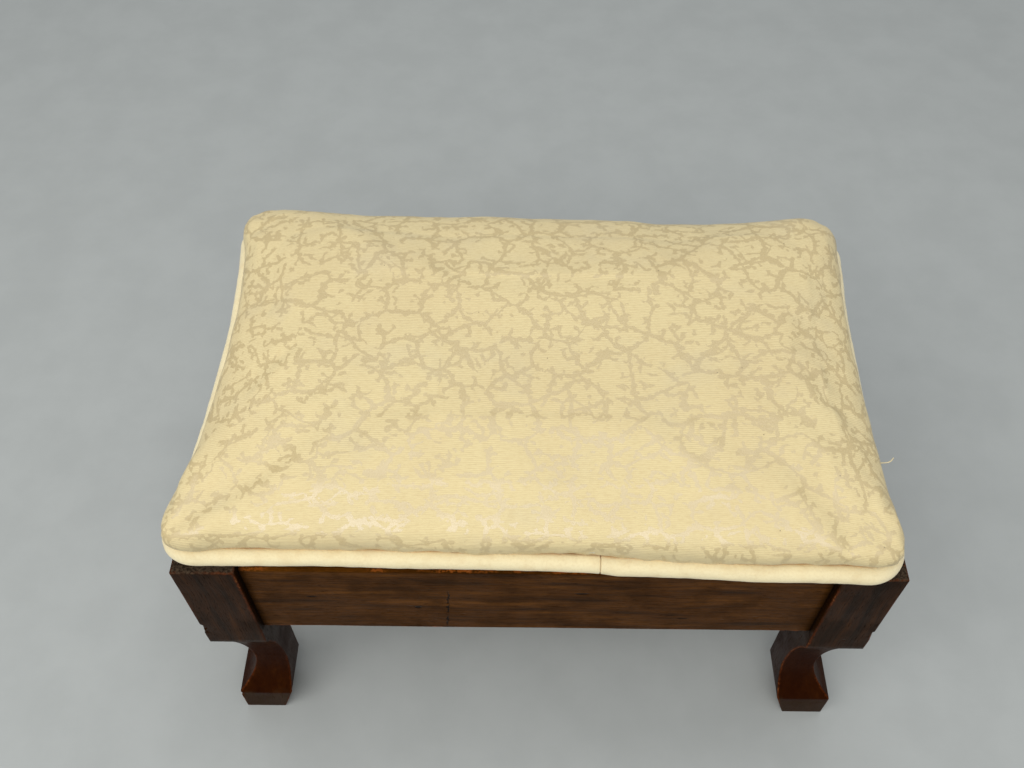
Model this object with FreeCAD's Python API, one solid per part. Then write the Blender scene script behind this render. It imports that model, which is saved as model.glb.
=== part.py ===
"""Upholstered footstool: a low hardwood stand with scrolled bracket legs, and a welted pad that lifts off.

Millimetres, +Z up. The origin is on the floor under the middle of the pad, which reaches further than the
stand on every side. +X runs along the long side, and the front faces -Y.

The stand is four square legs tenoned to four rails, with a screwed block in each corner. The pad is a board
with foam, wadding and a woven cover, a fat welt stapled round its lower edge, and two battens below that drop
between the rails and keep it in place. Nothing else holds it, so it lies slightly turned and slipped to the
left, and it lifts straight off.
"""

import FreeCAD, Part
import math
import os

V = FreeCAD.Vector
UP = V(0, 0, 1)

# Stand
stand_width = 432.0
stand_depth = 279.0
stand_height = 219.0

# Easing of the stand's sharp edges
edge_radius = 0.8

# Legs, cut to the same scroll on both outer faces
leg_side = 38.0
knee_height = 120.0
waist_height = 59.0
waist_depth = 15.0
toe_height = 27.0
heel_bevel = 9.0

# Rails and their tenons
rail_thickness = 20.0
rail_setback = 5.5
rail_top_drop = 5.0
rail_height = 79.5
rail_front_round = 3.0
tenon_thickness = 8.0
tenon_shoulder = 10.0
tenon_wall = 2.0
mortise_clearance = 0.1

# Corner blocks
block_reach = 35.0
block_height = 30.0
block_headroom = 6.0

# Screws, each ending that far short of the far side of what it holds
screw_shank = 4.0
screw_head_diameter = 8.0
screw_head_height = 2.4
screw_slot_width = 1.2
screw_slot_depth = 1.0
screw_hole_clearance = 0.15
block_screw_edge = 15.0
block_screw_recess = 5.0
block_screw_cover = 5.0
batten_screw_recess = 1.2
batten_screw_cover = 4.0

# Pad plan: a rectangle with round corners and sides that pull in between them, by angles in degrees
pad_side_overhang = 3.5
pad_front_overhang = 1.5
pad_corner_radius = 24.0
long_side_pull = 1.6
short_side_pull = 4.6

# How the pad lies on the stand
pad_turn = -1.2
pad_slip = 2.5

# Pad layers
board_thickness = 12.0
cover_thickness = 1.5
hem_thickness = 1.0
layer_gap = 0.3
wadding_thickness = 6.0

# Pad form: it swells out over the welt to a belly, then rounds over to a low crown
seam_rise = 1.8
belly_rise = 12.0
belly_inset = 4.5
crown_height = 46.0
crown_depth = 42.0
crown_corner_radius = 19.0
crown_fullness = 2.5
corner_swell = 36.0
belly_steps = 4
crown_steps = 12

# Welt
welt_diameter = 12.0
welt_lift = 0.2
welt_skin = 1.1
welt_clearance = 0.6
flange_thickness = 1.0
flange_width = 15.0

# Dust cover
dust_thickness = 0.5
dust_board_margin = 6.5
dust_flange_clearance = 1.0

# Battens
batten_width = 18.0
batten_depth = 14.0
batten_clearance = 7.0
batten_screw_count = 3
batten_screw_end = 35.0

# Staples
staple_crown = 10.0
staple_leg = 8.0
staple_wire_width = 1.2
staple_wire_thickness = 0.48
staple_spacing = 34.0
staple_edge_distance = 3.5
staple_leg_clearance = 6.0

# Derived plan of the pad
pad_width = stand_width + 2 * pad_side_overhang
pad_depth = stand_depth + 2 * pad_front_overhang

# Derived heights
rail_top = stand_height - rail_top_drop
rail_bottom = rail_top - rail_height
dust_bottom = stand_height
flange_bottom = dust_bottom + dust_thickness
hem_bottom = flange_bottom + flange_thickness
board_bottom = hem_bottom + hem_thickness
board_top = board_bottom + board_thickness
welt_radius = welt_diameter / 2
welt_axis_height = stand_height + welt_lift + welt_radius
seam_height = welt_lift + welt_radius + seam_rise
belly_height = seam_height + belly_rise
batten_top = board_bottom - dust_thickness
batten_bottom = batten_top - batten_depth

# Derived insets, measured inwards from the pad's outline
cover_edge_inset = welt_diameter + welt_clearance
board_inset = cover_edge_inset + cover_thickness + layer_gap
flange_inner_inset = cover_edge_inset + flange_width
dust_edge_inset = board_inset + dust_board_margin
dust_step_inset = flange_inner_inset + dust_flange_clearance
welt_staple_inset = board_inset + staple_edge_distance
dust_staple_inset = dust_edge_inset + staple_edge_distance
crown_inset = (pad_depth - crown_depth) / 2

# Derived places on the stand, measured inwards from its outer faces
rail_inner = rail_setback + rail_thickness
rail_middle = rail_setback + rail_thickness / 2
tenon_length = leg_side - rail_middle - tenon_thickness / 2 - tenon_wall
block_cut = leg_side + block_reach + rail_inner
block_top = batten_bottom - block_headroom
block_bottom = block_top - block_height
block_screw_along = leg_side + block_reach - block_screw_edge
block_screw_head = rail_inner + block_screw_edge - block_screw_recess
block_screw_length = block_screw_head - rail_setback - block_screw_cover
batten_screw_head = batten_bottom + batten_screw_recess
batten_screw_length = board_top - batten_screw_cover - batten_screw_head


def box(x0, x1, y0, y1, z0, z1):
    """Returns the block between two corners."""
    return Part.makeBox(x1 - x0, y1 - y0, z1 - z0, V(x0, y0, z0))


def polygon_face(points):
    """Returns the flat face inside a closed list of points."""
    return Part.Face(Part.makePolygon(points + [points[0]]))


def turned(shape, angle, x=0.0, y=0.0):
    """Returns a copy turned about the vertical through the origin, then moved to x, y."""
    copy = shape.copy()
    copy.rotate(V(0, 0, 0), UP, angle)
    copy.translate(V(x, y, 0))
    return copy


def save(name, solids):
    """Writes one node as a STEP file, as one solid or as a group of separate solids."""
    shape = solids if isinstance(solids, Part.Shape) else Part.makeCompound(solids)
    for solid in shape.Solids:
        if not solid.isValid():
            print("not valid:", name)
    shape.exportStep("parts/" + name + ".step")
    print(name, "solids", len(shape.Solids), "volume", round(shape.Volume))


# Stand pieces. Each is made at the front-left corner, where a and b run inwards from the two outer faces.


def arc_middle(start, end, centre, radius):
    """Returns the point of a circle that lies halfway between two of its points."""
    middle = (start + end) * 0.5 - centre
    return centre + middle.normalize() * radius


def scroll_arc(top, bottom, waist):
    """Returns the arc from top to bottom that runs upright at whichever end is the waist."""
    other = top if waist is bottom else bottom
    rise = abs(other.z - waist.z)
    run = waist.x - other.x
    radius = (rise * rise + run * run) / (2 * run)
    centre = V(waist.x - radius, 0, waist.z)
    return Part.Arc(top, arc_middle(top, bottom, centre, radius), bottom).toShape()


def leg_profile():
    """Returns the leg's face from the front: upright, then scrolled in to the waist and out to the toe."""
    knee = V(0, 0, knee_height)
    waist = V(waist_depth, 0, waist_height)
    toe = V(0, 0, toe_height)
    foot = [toe, V(0, 0, 0), V(leg_side - heel_bevel, 0, 0), V(leg_side, 0, toe_height)]
    top = [V(leg_side, 0, stand_height), V(0, 0, stand_height), knee]
    straights = foot + top
    edges = [scroll_arc(knee, waist, waist), scroll_arc(waist, toe, waist)]
    edges += [Part.makeLine(p, q) for p, q in zip(straights, straights[1:])]
    return Part.Face(Part.Wire(Part.__sortEdges__(edges)))


def leg_blank():
    """Returns one leg before its mortises, sawn to the profile on both outer faces, with eased edges."""
    seen_from_front = leg_profile().extrude(V(0, leg_side, 0))
    seen_from_side = seen_from_front.copy()
    seen_from_side.rotate(V(leg_side / 2, leg_side / 2, 0), UP, 90)
    leg = seen_from_front.common(seen_from_side).removeSplitter()
    return leg.makeFillet(edge_radius, leg.Edges)


def leg():
    """Returns a finished leg with two mortises that nearly meet inside it."""
    mortise_depth = tenon_length + tenon_wall / 2
    near = rail_middle - tenon_thickness / 2 - mortise_clearance
    far = rail_middle + tenon_thickness / 2 + mortise_clearance
    low = rail_bottom + tenon_shoulder - mortise_clearance
    high = rail_top - tenon_shoulder + mortise_clearance
    for_long_rail = box(leg_side - mortise_depth, leg_side + 1, near, far, low, high)
    for_short_rail = box(near, far, leg_side - mortise_depth, leg_side + 1, low, high)
    return leg_blank().cut(for_long_rail).cut(for_short_rail)


def long_edges(body, length):
    """Returns a rail's edges along X, with the front top one last."""
    along = [edge for edge in body.Edges if edge.BoundBox.XLength > 0.5 * length]
    return sorted(along, key=lambda edge: edge.CenterOfMass.z - edge.CenterOfMass.y)


def rail(length):
    """Returns a rail of that length between the legs, lying along X, with its outer face at Y 0."""
    body = box(-length / 2, length / 2, 0, rail_thickness, rail_bottom, rail_top)
    body = body.makeFillet(edge_radius, long_edges(body, length)[:-1])
    body = body.makeFillet(rail_front_round, long_edges(body, length)[-1:])
    reach = length / 2 + tenon_length
    middle = rail_thickness / 2
    tenons = box(
        -reach,
        reach,
        middle - tenon_thickness / 2,
        middle + tenon_thickness / 2,
        rail_bottom + tenon_shoulder,
        rail_top - tenon_shoulder,
    )
    return body.fuse(tenons).removeSplitter()


def wood_screw(length):
    """Returns a slotted wood screw that points down -Z, with the top of its head at the origin."""
    radius = screw_shank / 2
    profile = [
        V(0, 0, 0),
        V(screw_head_diameter / 2, 0, 0),
        V(radius, 0, -screw_head_height),
        V(radius, 0, -length + screw_shank),
        V(0, 0, -length),
    ]
    body = polygon_face(profile).revolve(V(0, 0, 0), UP, 360)
    half = screw_head_diameter
    slot = box(-half, half, -screw_slot_width / 2, screw_slot_width / 2, -screw_slot_depth, 1)
    return body.cut(slot)


def screw_hole(length, recess):
    """Returns the hole for that screw, with a straight recess above its head."""
    radius = screw_shank / 2 + screw_hole_clearance
    head = screw_head_diameter / 2 + screw_hole_clearance
    profile = [
        V(0, 0, recess),
        V(head, 0, recess),
        V(head, 0, 0),
        V(radius, 0, -screw_head_height),
        V(radius, 0, -length - screw_hole_clearance),
        V(0, 0, -length - screw_hole_clearance),
    ]
    return polygon_face(profile).revolve(V(0, 0, 0), UP, 360)


def into_long_rail(tool):
    """Lays a screw or hole tool so that it points through the corner block into the long rail, along -b."""
    copy = tool.copy()
    copy.rotate(V(0, 0, 0), V(1, 0, 0), -90)
    copy.translate(V(block_screw_along, block_screw_head, (block_top + block_bottom) / 2))
    return copy


def into_short_rail(tool):
    """The same through the other arm of the block into the short rail, along -a."""
    copy = tool.copy()
    copy.rotate(V(0, 0, 0), V(0, 1, 0), 90)
    copy.translate(V(block_screw_head, block_screw_along, (block_top + block_bottom) / 2))
    return copy


def corner_block():
    """Returns a block glued into the corner behind a leg, notched round it, with two screw holes."""
    plan = [
        V(leg_side, rail_inner, block_bottom),
        V(leg_side + block_reach, rail_inner, block_bottom),
        V(rail_inner, leg_side + block_reach, block_bottom),
        V(rail_inner, leg_side, block_bottom),
        V(leg_side, leg_side, block_bottom),
    ]
    block = polygon_face(plan).extrude(V(0, 0, block_height))
    hole = screw_hole(block_screw_length, block_reach)
    return block.cut(into_long_rail(hole)).cut(into_short_rail(hole))


def make_stand():
    """Writes the legs, rails, corner blocks and their screws."""
    left = pad_slip - stand_width / 2
    right = pad_slip + stand_width / 2
    half_depth = stand_depth / 2
    corners = {
        "front_left": (0, left, -half_depth),
        "front_right": (90, right, -half_depth),
        "back_right": (180, right, half_depth),
        "back_left": (270, left, half_depth),
    }
    one_leg = leg()
    one_block = corner_block()
    screw = wood_screw(block_screw_length)
    hole = screw_hole(block_screw_length, block_reach)
    screws = []
    holes = []
    for corner, (angle, x, y) in corners.items():
        save("leg_" + corner, turned(one_leg, angle, x, y))
        save("corner_block_" + corner, turned(one_block, angle, x, y))
        for lay in (into_long_rail, into_short_rail):
            screws.append(turned(lay(screw), angle, x, y))
            holes.append(turned(lay(hole), angle, x, y))
    save("corner_block_screws", screws)
    long_rail = rail(stand_width - 2 * leg_side)
    short_rail = rail(stand_depth - 2 * leg_side)
    front = half_depth - rail_setback
    rails = {
        "rail_front": turned(long_rail, 0, pad_slip, -front),
        "rail_back": turned(long_rail, 180, pad_slip, front),
        "rail_left": turned(short_rail, -90, left + rail_setback, 0),
        "rail_right": turned(short_rail, 90, right - rail_setback, 0),
    }
    for name, shape in rails.items():
        save(name, shape.cut(holes))


# Pad pieces. Heights are measured from the top of the legs, and insets inwards from the pad's outline.


def corner_radius(inset):
    """Returns the corner radius of the pad's plan at an inset."""
    return max(pad_corner_radius - inset, pad_corner_radius / 3)


def outline(inset, height, radius):
    """Returns the pad's plan at an inset: four round corners joined by arcs that bow inwards.

    Each corner arc turns a little more than a right angle, so that the side arcs leave it smoothly. The bow
    fades out towards the middle of the pad.
    """
    fade = max(0.0, 1 - inset / crown_inset)
    long_pull = math.radians(long_side_pull * fade)
    short_pull = math.radians(short_side_pull * fade)
    x = pad_width / 2 - inset - radius
    y = pad_depth / 2 - inset - radius
    z = stand_height + height

    def on_corner(sx, sy, angle):
        return V(sx * x + radius * math.cos(angle), sy * y + radius * math.sin(angle), z)

    corners = []
    for quarter, (sx, sy) in enumerate([(1, 1), (-1, 1), (-1, -1), (1, -1)]):
        before, after = (short_pull, long_pull) if quarter % 2 == 0 else (long_pull, short_pull)
        start = quarter * math.pi / 2 - before
        end = (quarter + 1) * math.pi / 2 + after
        corners.append([on_corner(sx, sy, angle) for angle in (start, (start + end) / 2, end)])
    edges = []
    for quarter, points in enumerate(corners):
        edges.append(Part.Arc(*points).toShape())
        here = points[2]
        there = corners[(quarter + 1) % 4][0]
        pull = long_pull if quarter % 2 == 0 else short_pull
        middle = (here + there) * 0.5
        inwards = V(-middle.x, -middle.y, 0).normalize()
        bow = (there - here).Length / 2 * math.tan(pull / 2)
        if bow < 1e-3:
            edges.append(Part.makeLine(here, there))
        else:
            edges.append(Part.Arc(here, middle + inwards * bow, there).toShape())
    return Part.Wire(edges)


def slab(inset, low, high):
    """Returns the plate with the pad's plan at an inset, between two heights."""
    return Part.Face(outline(inset, low, corner_radius(inset))).extrude(V(0, 0, high - low))


def ring(outer, inner, low, high):
    """Returns the flat band between two insets and two heights."""
    return slab(outer, low, high).cut(slab(inner, low - 1, high + 1))


def pad_sections():
    """Returns the cover's outer form as (height, inset, corner radius), from behind the welt to the crown.

    It swells out over the welt to the belly, and goes on from there as a quarter of a superellipse.
    """
    sections = []
    for step in range(belly_steps):
        part = step / belly_steps
        swell = math.sin(part * math.pi / 2) ** 2
        inset = cover_edge_inset + swell * (belly_inset - cover_edge_inset)
        sections.append((seam_height + part * belly_rise, inset, corner_radius(inset)))
    belly_radius = corner_radius(belly_inset)
    crown_radius = min(crown_corner_radius, 0.45 * crown_depth)
    for step in range(crown_steps + 1):
        angle = step / crown_steps * math.pi / 2
        part = 1 - math.cos(angle) ** (2 / crown_fullness)
        rise = math.sin(angle) ** (2 / crown_fullness)
        height = belly_height + rise * (crown_height - belly_height)
        inset = belly_inset + part * (crown_inset - belly_inset)
        radius = belly_radius + part * (crown_radius - belly_radius) + corner_swell * part * (1 - part)
        sections.append((height, inset, radius))
    return sections


def pad_form(offset, low):
    """Returns the solid inside the cover's outer form, moved in by an offset and cut off level at low."""
    sections = pad_sections()
    wires = []
    for i, (height, inset, radius) in enumerate(sections):
        before = sections[max(i - 1, 0)]
        after = sections[min(i + 1, len(sections) - 1)]
        rise = after[0] - before[0]
        run = after[1] - before[1] if i > 0 else 0.0
        size = math.hypot(rise, run)
        across = offset * rise / size
        smaller = max(radius - across, radius / 3)
        wires.append(outline(inset + across, height - offset * run / size, smaller))
    upright = Part.Face(wires[0]).extrude(V(0, 0, hem_bottom - stand_height - seam_height))
    form = Part.makeLoft(wires, True, True).fuse(upright)
    below = box(-pad_width, pad_width, -pad_depth, pad_depth, 0, stand_height + low)
    return form.cut(below)


def make_cover():
    """Returns the woven cover: a shell over the whole pad, turned under the board as a hem."""
    low = hem_bottom - stand_height
    inside = pad_form(cover_thickness, low + hem_thickness)
    opening = slab(flange_inner_inset, low - 1, low + hem_thickness + 1)
    return pad_form(0, low).cut(inside).cut(opening)


def sweep_round(radius):
    """Returns a round bar of that radius that follows the welt all the way round the pad."""
    path = outline(welt_radius, welt_axis_height - stand_height, corner_radius(welt_radius))
    start = path.OrderedVertexes[0].Point
    tangent = path.OrderedEdges[0].tangentAt(path.OrderedEdges[0].FirstParameter)
    circle = Part.Wire(Part.makeCircle(radius, start, tangent))
    return path.makePipeShell([circle], True, False)


def make_welt():
    """Returns the welt's cotton cord, and the fabric strip round it with its stapled flange."""
    cord = sweep_round(welt_radius - welt_skin - layer_gap)
    low = flange_bottom - stand_height
    flange = ring(welt_radius, flange_inner_inset, low, low + flange_thickness)
    strip = sweep_round(welt_radius).fuse(flange).cut(sweep_round(welt_radius - welt_skin))
    return cord, strip


def make_dust_cover():
    """Returns the black cloth below the pad, which steps over the flange and lies against the board."""
    low = dust_bottom - stand_height
    top = board_bottom - stand_height
    step = dust_step_inset
    sheet = slab(dust_edge_inset, low, top)
    over_flange = ring(dust_edge_inset - 1, step, low + dust_thickness, top + 1)
    under_board = slab(step + dust_thickness, low - 1, top - dust_thickness)
    return sheet.cut(over_flange).cut(under_board)


def staple(x, y, angle, bottom):
    """Returns one staple with its crown underneath, and its two legs driven up."""
    half = staple_crown / 2
    wide = staple_wire_width / 2
    top = bottom + staple_wire_thickness
    crown = box(-half, half, -wide, wide, bottom, top)
    left = box(-half, -half + staple_wire_thickness, -wide, wide, top, top + staple_leg)
    right = box(half - staple_wire_thickness, half, -wide, wide, top, top + staple_leg)
    return turned(crown.fuse([left, right]).removeSplitter(), angle, x, y)


def staple_row(inset, bottom, clear):
    """Returns the staples along all four sides at one inset, that far clear of the pad's corners."""
    staples = []
    x = pad_width / 2 - inset
    y = pad_depth / 2 - inset
    sides = [(pad_width, y, 0), (pad_depth, x, 90)]
    for length, away, angle in sides:
        run = length - 2 * clear - staple_crown
        count = max(2, int(run / staple_spacing) + 1)
        pull = long_side_pull if angle == 0 else short_side_pull
        for i in range(count):
            along = -run / 2 + run * i / (count - 1)
            bow = (length / 2 - abs(along)) * math.tan(math.radians(pull) / 2)
            for side in (-1, 1):
                across = side * (away - bow)
                x0, y0 = (along, across) if angle == 0 else (across, along)
                staples.append(staple(x0, y0, angle, bottom))
    return staples


def make_battens():
    """Returns the two battens with their screw holes, and the screws."""
    half = stand_width / 2 - leg_side - batten_clearance
    outer = stand_depth / 2 - rail_inner - batten_clearance
    middle = outer - batten_width / 2
    screw = wood_screw(batten_screw_length).mirror(V(0, 0, 0), UP)
    hole = screw_hole(batten_screw_length, batten_depth).mirror(V(0, 0, 0), UP)
    run = 2 * (half - batten_screw_end)
    battens = []
    screws = []
    holes = []
    for side in (-1, 1):
        near, far = sorted((side * outer, side * (outer - batten_width)))
        batten = box(-half, half, near, far, batten_bottom, batten_top)
        for i in range(batten_screw_count):
            place = V(-run / 2 + run * i / (batten_screw_count - 1), side * middle, batten_screw_head)
            screws.append(screw.copy())
            screws[-1].translate(place)
            holes.append(hole.copy())
            holes[-1].translate(place)
        battens.append(batten)
    return [batten.cut(holes) for batten in battens], screws, holes


def make_pad():
    """Writes the pad's pieces, all turned together by the pad's small turn on the stand."""
    battens, screws, holes = make_battens()
    base = board_top - stand_height
    board = slab(board_inset, board_bottom - stand_height, base).cut(holes)
    wadding_offset = cover_thickness + layer_gap
    foam_offset = wadding_offset + wadding_thickness + layer_gap
    wadding = pad_form(wadding_offset, base).cut(pad_form(foam_offset - layer_gap, base))
    cord, strip = make_welt()
    welt_staples = staple_row(welt_staple_inset, flange_bottom - staple_wire_thickness, pad_corner_radius)
    past_leg = leg_side + pad_side_overhang + pad_slip + staple_leg_clearance
    dust_staples = staple_row(dust_staple_inset, dust_bottom - staple_wire_thickness, past_leg)
    pieces = {
        "seat_board": board,
        "foam_block": pad_form(foam_offset, base),
        "wadding": wadding,
        "damask_cover": make_cover(),
        "welt_cord": cord,
        "welt_cover": strip,
        "dust_cover": make_dust_cover().cut(holes),
        "batten_front": battens[0],
        "batten_back": battens[1],
        "batten_screws": Part.makeCompound(screws),
        "welt_staples": Part.makeCompound(welt_staples),
        "dust_cover_staples": Part.makeCompound(dust_staples),
    }
    for name, shape in pieces.items():
        save(name, turned(shape, pad_turn))


os.makedirs("parts", exist_ok=True)
make_stand()
make_pad()
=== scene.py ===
"""The looks of an upholstered footstool: a stained hardwood stand and a welted damask pad that lifts off it.

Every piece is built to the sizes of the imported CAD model, in the same place. Fields are in millimetres and
degrees, as a maker would write them down, and only a finished mesh is in metres.
"""

import logging
import math
from contextlib import contextmanager
from dataclasses import dataclass, field
from enum import Enum
from typing import Callable, Iterable, Iterator, Optional, Sequence, Union

import bmesh
import bpy
import numpy as np
from mathutils import Matrix, Vector
from mathutils import noise as grain_noise


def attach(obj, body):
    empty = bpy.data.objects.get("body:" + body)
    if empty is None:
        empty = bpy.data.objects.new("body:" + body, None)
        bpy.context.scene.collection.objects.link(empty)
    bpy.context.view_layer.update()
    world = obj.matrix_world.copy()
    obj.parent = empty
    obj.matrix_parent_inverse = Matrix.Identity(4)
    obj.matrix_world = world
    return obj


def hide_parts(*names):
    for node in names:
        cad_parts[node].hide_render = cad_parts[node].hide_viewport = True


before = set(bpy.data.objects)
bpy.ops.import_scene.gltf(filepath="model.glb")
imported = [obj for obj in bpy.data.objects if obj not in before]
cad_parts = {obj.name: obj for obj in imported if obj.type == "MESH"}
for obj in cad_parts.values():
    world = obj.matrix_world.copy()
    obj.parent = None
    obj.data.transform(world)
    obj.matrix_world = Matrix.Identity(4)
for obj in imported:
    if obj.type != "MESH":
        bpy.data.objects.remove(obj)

LOG = logging.getLogger("footstool")
MM = 0.001
IN_MM = (1 / MM,) * 3

# Sizes that more than one part of the footstool takes up
STAND_WIDTH = 432.0
STAND_DEPTH = 279.0
LEG_TOP = 219.0
LEG_SIDE = 38.0
RAIL_LOW = 134.5
RAIL_TOP = 214.0
EDGE_EASE = 0.8
LINE_WIDTH = 0.05
FLANGE_INNER = 27.6

Socket = bpy.types.NodeSocket
Value = Union[Socket, float, tuple]
Piece = bpy.types.Object
EdgeRule = Callable[[bmesh.types.BMEdge], bool]
Numbers = Union[float, np.ndarray]


# ---------------------------------------------------------------------------------------------------------
# Bench tools: picking, sawing and easing by operators
# ---------------------------------------------------------------------------------------------------------


class Along(Enum):
    """The way that the grain of a piece of wood runs."""

    WIDTH = 0
    DEPTH = 1
    HEIGHT = 2

    def stretched(self, run: float) -> tuple:
        """Returns the scale of a pattern that is drawn out along the grain."""
        return tuple(run if axis == self.value else 1.0 for axis in range(3))


def nothing_picked() -> None:
    """Leaves object mode with nothing selected."""
    if bpy.context.object is not None and bpy.context.object.mode != "OBJECT":
        bpy.ops.object.mode_set(mode="OBJECT")
    bpy.ops.object.select_all(action="DESELECT")


def work_on(piece: Piece) -> None:
    """Makes one piece the only selected one and the active one.

    Args:
        piece: The piece to work on.
    """
    nothing_picked()
    piece.hide_set(False)
    piece.select_set(True)
    bpy.context.view_layer.objects.active = piece


@contextmanager
def editing(piece: Piece) -> Iterator[None]:
    """Works on a piece in edit mode, and leaves that mode after it."""
    work_on(piece)
    bpy.ops.object.mode_set(mode="EDIT")
    yield
    bpy.ops.object.mode_set(mode="OBJECT")


def pick_points(piece: Piece, chosen: Callable[[Vector], bool]) -> int:
    """Selects, in edit mode, the points of a piece that a rule picks out.

    Args:
        piece: The piece, in edit mode.
        chosen: Says of a point, in millimetres, whether it is picked.

    Returns:
        How many points were picked.
    """
    bpy.ops.mesh.select_mode(type="VERT")
    bpy.ops.mesh.select_all(action="DESELECT")
    work = bmesh.from_edit_mesh(piece.data)
    count = 0
    for point in work.verts:
        if chosen(point.co / MM):
            point.select = True
            count += 1
    work.select_flush(True)
    bmesh.update_edit_mesh(piece.data)
    return count


def pick_edges(piece: Piece, chosen: EdgeRule) -> None:
    """Selects, in edit mode, the edges of a piece that a rule picks out.

    Args:
        piece: The piece, in edit mode.
        chosen: Says of an edge whether it is picked.
    """
    bpy.ops.mesh.select_mode(type="EDGE")
    bpy.ops.mesh.select_all(action="DESELECT")
    work = bmesh.from_edit_mesh(piece.data)
    for edge in [edge for edge in work.edges if chosen(edge)]:
        edge.select = True
    work.select_flush_mode()
    bmesh.update_edit_mesh(piece.data)


def sawn_blank(name: str, low: Vector, high: Vector, lines: Sequence[Sequence[float]]) -> Piece:
    """Saws a squared blank between two corners and marks lines across it.

    Args:
        name: The name of the piece.
        low: Its lowest corner.
        high: Its highest corner.
        lines: The places of the lines across X, Y and Z.

    Returns:
        The blank, with its place in its mesh.
    """
    nothing_picked()
    bpy.ops.mesh.primitive_cube_add(size=1.0, location=(low + high) / 2 * MM)
    blank = bpy.context.object
    blank.name = name
    blank.data.name = name
    blank.scale = (high - low) * MM
    bpy.ops.object.transform_apply(location=True, rotation=True, scale=True)
    with editing(blank):
        for axis, places in enumerate(lines):
            across = np.eye(3)[axis]
            for place in places:
                bpy.ops.mesh.select_all(action="SELECT")
                bpy.ops.mesh.bisect(plane_co=across * place * MM, plane_no=across)
    return blank


def ease_edges(piece: Piece, width: float, chosen: EdgeRule, steps: int = 3) -> None:
    """Rounds over the picked edges of a piece.

    Args:
        piece: The piece.
        width: How far the rounding reaches on each face.
        chosen: Says of an edge whether it is rounded.
        steps: The number of facets over the rounding.
    """
    with editing(piece):
        pick_edges(piece, chosen)
        bpy.ops.mesh.bevel(offset=width * MM, segments=steps, profile=0.5, affect="EDGES", clamp_overlap=True)


def sharp(edge: bmesh.types.BMEdge) -> bool:
    """Says whether two faces meet at an edge at more than 35 degrees."""
    return len(edge.link_faces) == 2 and edge.calc_face_angle(0.0) > math.radians(35)


def change(piece: Piece, kind: str, **ways: Union[str, float, int, bpy.types.Texture]) -> None:
    """Changes a piece with one modifier, and applies it.

    Args:
        piece: The piece.
        kind: The modifier's kind, as Blender names it.
        ways: How it works, by the names of its properties.
    """
    work_on(piece)
    modifier = piece.modifiers.new("change", kind)
    for name, way in ways.items():
        setattr(modifier, name, way)
    bpy.ops.object.modifier_apply(modifier="change")


def hand_finish(piece: Piece, depth: float, spread: float) -> None:
    """Gives flat faces the slight unevenness of hand work.

    Args:
        piece: The piece.
        depth: How far a face wanders.
        spread: The distance from one hollow to the next.
    """
    clouds = bpy.data.textures.new(piece.name + "_unevenness", "CLOUDS")
    clouds.noise_scale = spread * MM
    change(piece, "DISPLACE", texture=clouds, texture_coords="LOCAL", strength=depth * MM, mid_level=0.5)


def smooth(piece: Piece, angle: float = 32.0) -> None:
    """Shades a piece smooth, apart from edges sharper than an angle."""
    work_on(piece)
    bpy.ops.object.shade_smooth_by_angle(angle=math.radians(angle))


def points_of(piece: Piece) -> np.ndarray:
    """Returns a piece's points in metres, one row each."""
    places = np.empty(len(piece.data.vertices) * 3, np.float32)
    piece.data.vertices.foreach_get("co", places)
    return places.reshape(-1, 3).astype(float)


def put_points(piece: Piece, places: np.ndarray) -> None:
    """Moves a piece's points to new places, in metres."""
    piece.data.vertices.foreach_set("co", places.astype(np.float32).ravel())
    piece.data.update()


def normals_of(piece: Piece) -> np.ndarray:
    """Returns the outward direction at each of a piece's points."""
    ways = np.empty(len(piece.data.vertices) * 3, np.float32)
    piece.data.vertex_normals.foreach_get("vector", ways)
    return ways.reshape(-1, 3).astype(float)


def evened(piece: Piece, values: np.ndarray, rounds: int) -> np.ndarray:
    """Returns a piece's numbers, one for each point, evened out among neighbours.

    Args:
        piece: The piece.
        values: One number for each point.
        rounds: How many times each is brought halfway to its neighbours.

    Returns:
        The evened numbers.
    """
    ends = np.empty(len(piece.data.edges) * 2, np.int32)
    piece.data.edges.foreach_get("vertices", ends)
    first, second = ends.reshape(-1, 2).T
    count = np.bincount(np.concatenate((first, second)), minlength=len(values))
    for _ in range(rounds):
        near = np.bincount(first, values[second], len(values))
        near += np.bincount(second, values[first], len(values))
        values = 0.5 * values + 0.5 * near / np.maximum(count, 1)
    return values


def note_number(piece: Piece, name: str, values: np.ndarray) -> None:
    """Keeps one number for each point of a piece, for its finish to read."""
    kept = piece.data.attributes.new(name, "FLOAT", "POINT")
    kept.data.foreach_set("value", values.astype(np.float32))


def note_place(piece: Piece, name: str, values: np.ndarray) -> None:
    """Keeps one place for each point of a piece, for its finish to read."""
    kept = piece.data.attributes.new(name, "FLOAT_VECTOR", "POINT")
    kept.data.foreach_set("vector", values.astype(np.float32).ravel())


def wander(places: np.ndarray, spread: float, seed: float) -> np.ndarray:
    """Returns smooth chance numbers from about -1 to 1, one for each place.

    Args:
        places: Places in millimetres, one row each.
        spread: The distance from one hump to the next.
        seed: Tells one set of numbers from another.

    Returns:
        The numbers.
    """
    apart = Vector((seed * 17.3, seed * 5.9, seed * 29.1))
    return np.array([grain_noise.noise(Vector(place) / spread + apart) for place in places]) * 1.6


def ease_in(values: Numbers, low: float, high: float) -> Numbers:
    """Returns 0 below low and 1 above high, and eases smoothly between them."""
    part = np.clip((values - low) / (high - low), 0.0, 1.0)
    return part * part * (3 - 2 * part)


def hump(away: np.ndarray, spread: float) -> np.ndarray:
    """Returns a bell-shaped hump, 1 where away is 0."""
    return np.exp(-(away**2) / (2 * spread**2))


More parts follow.
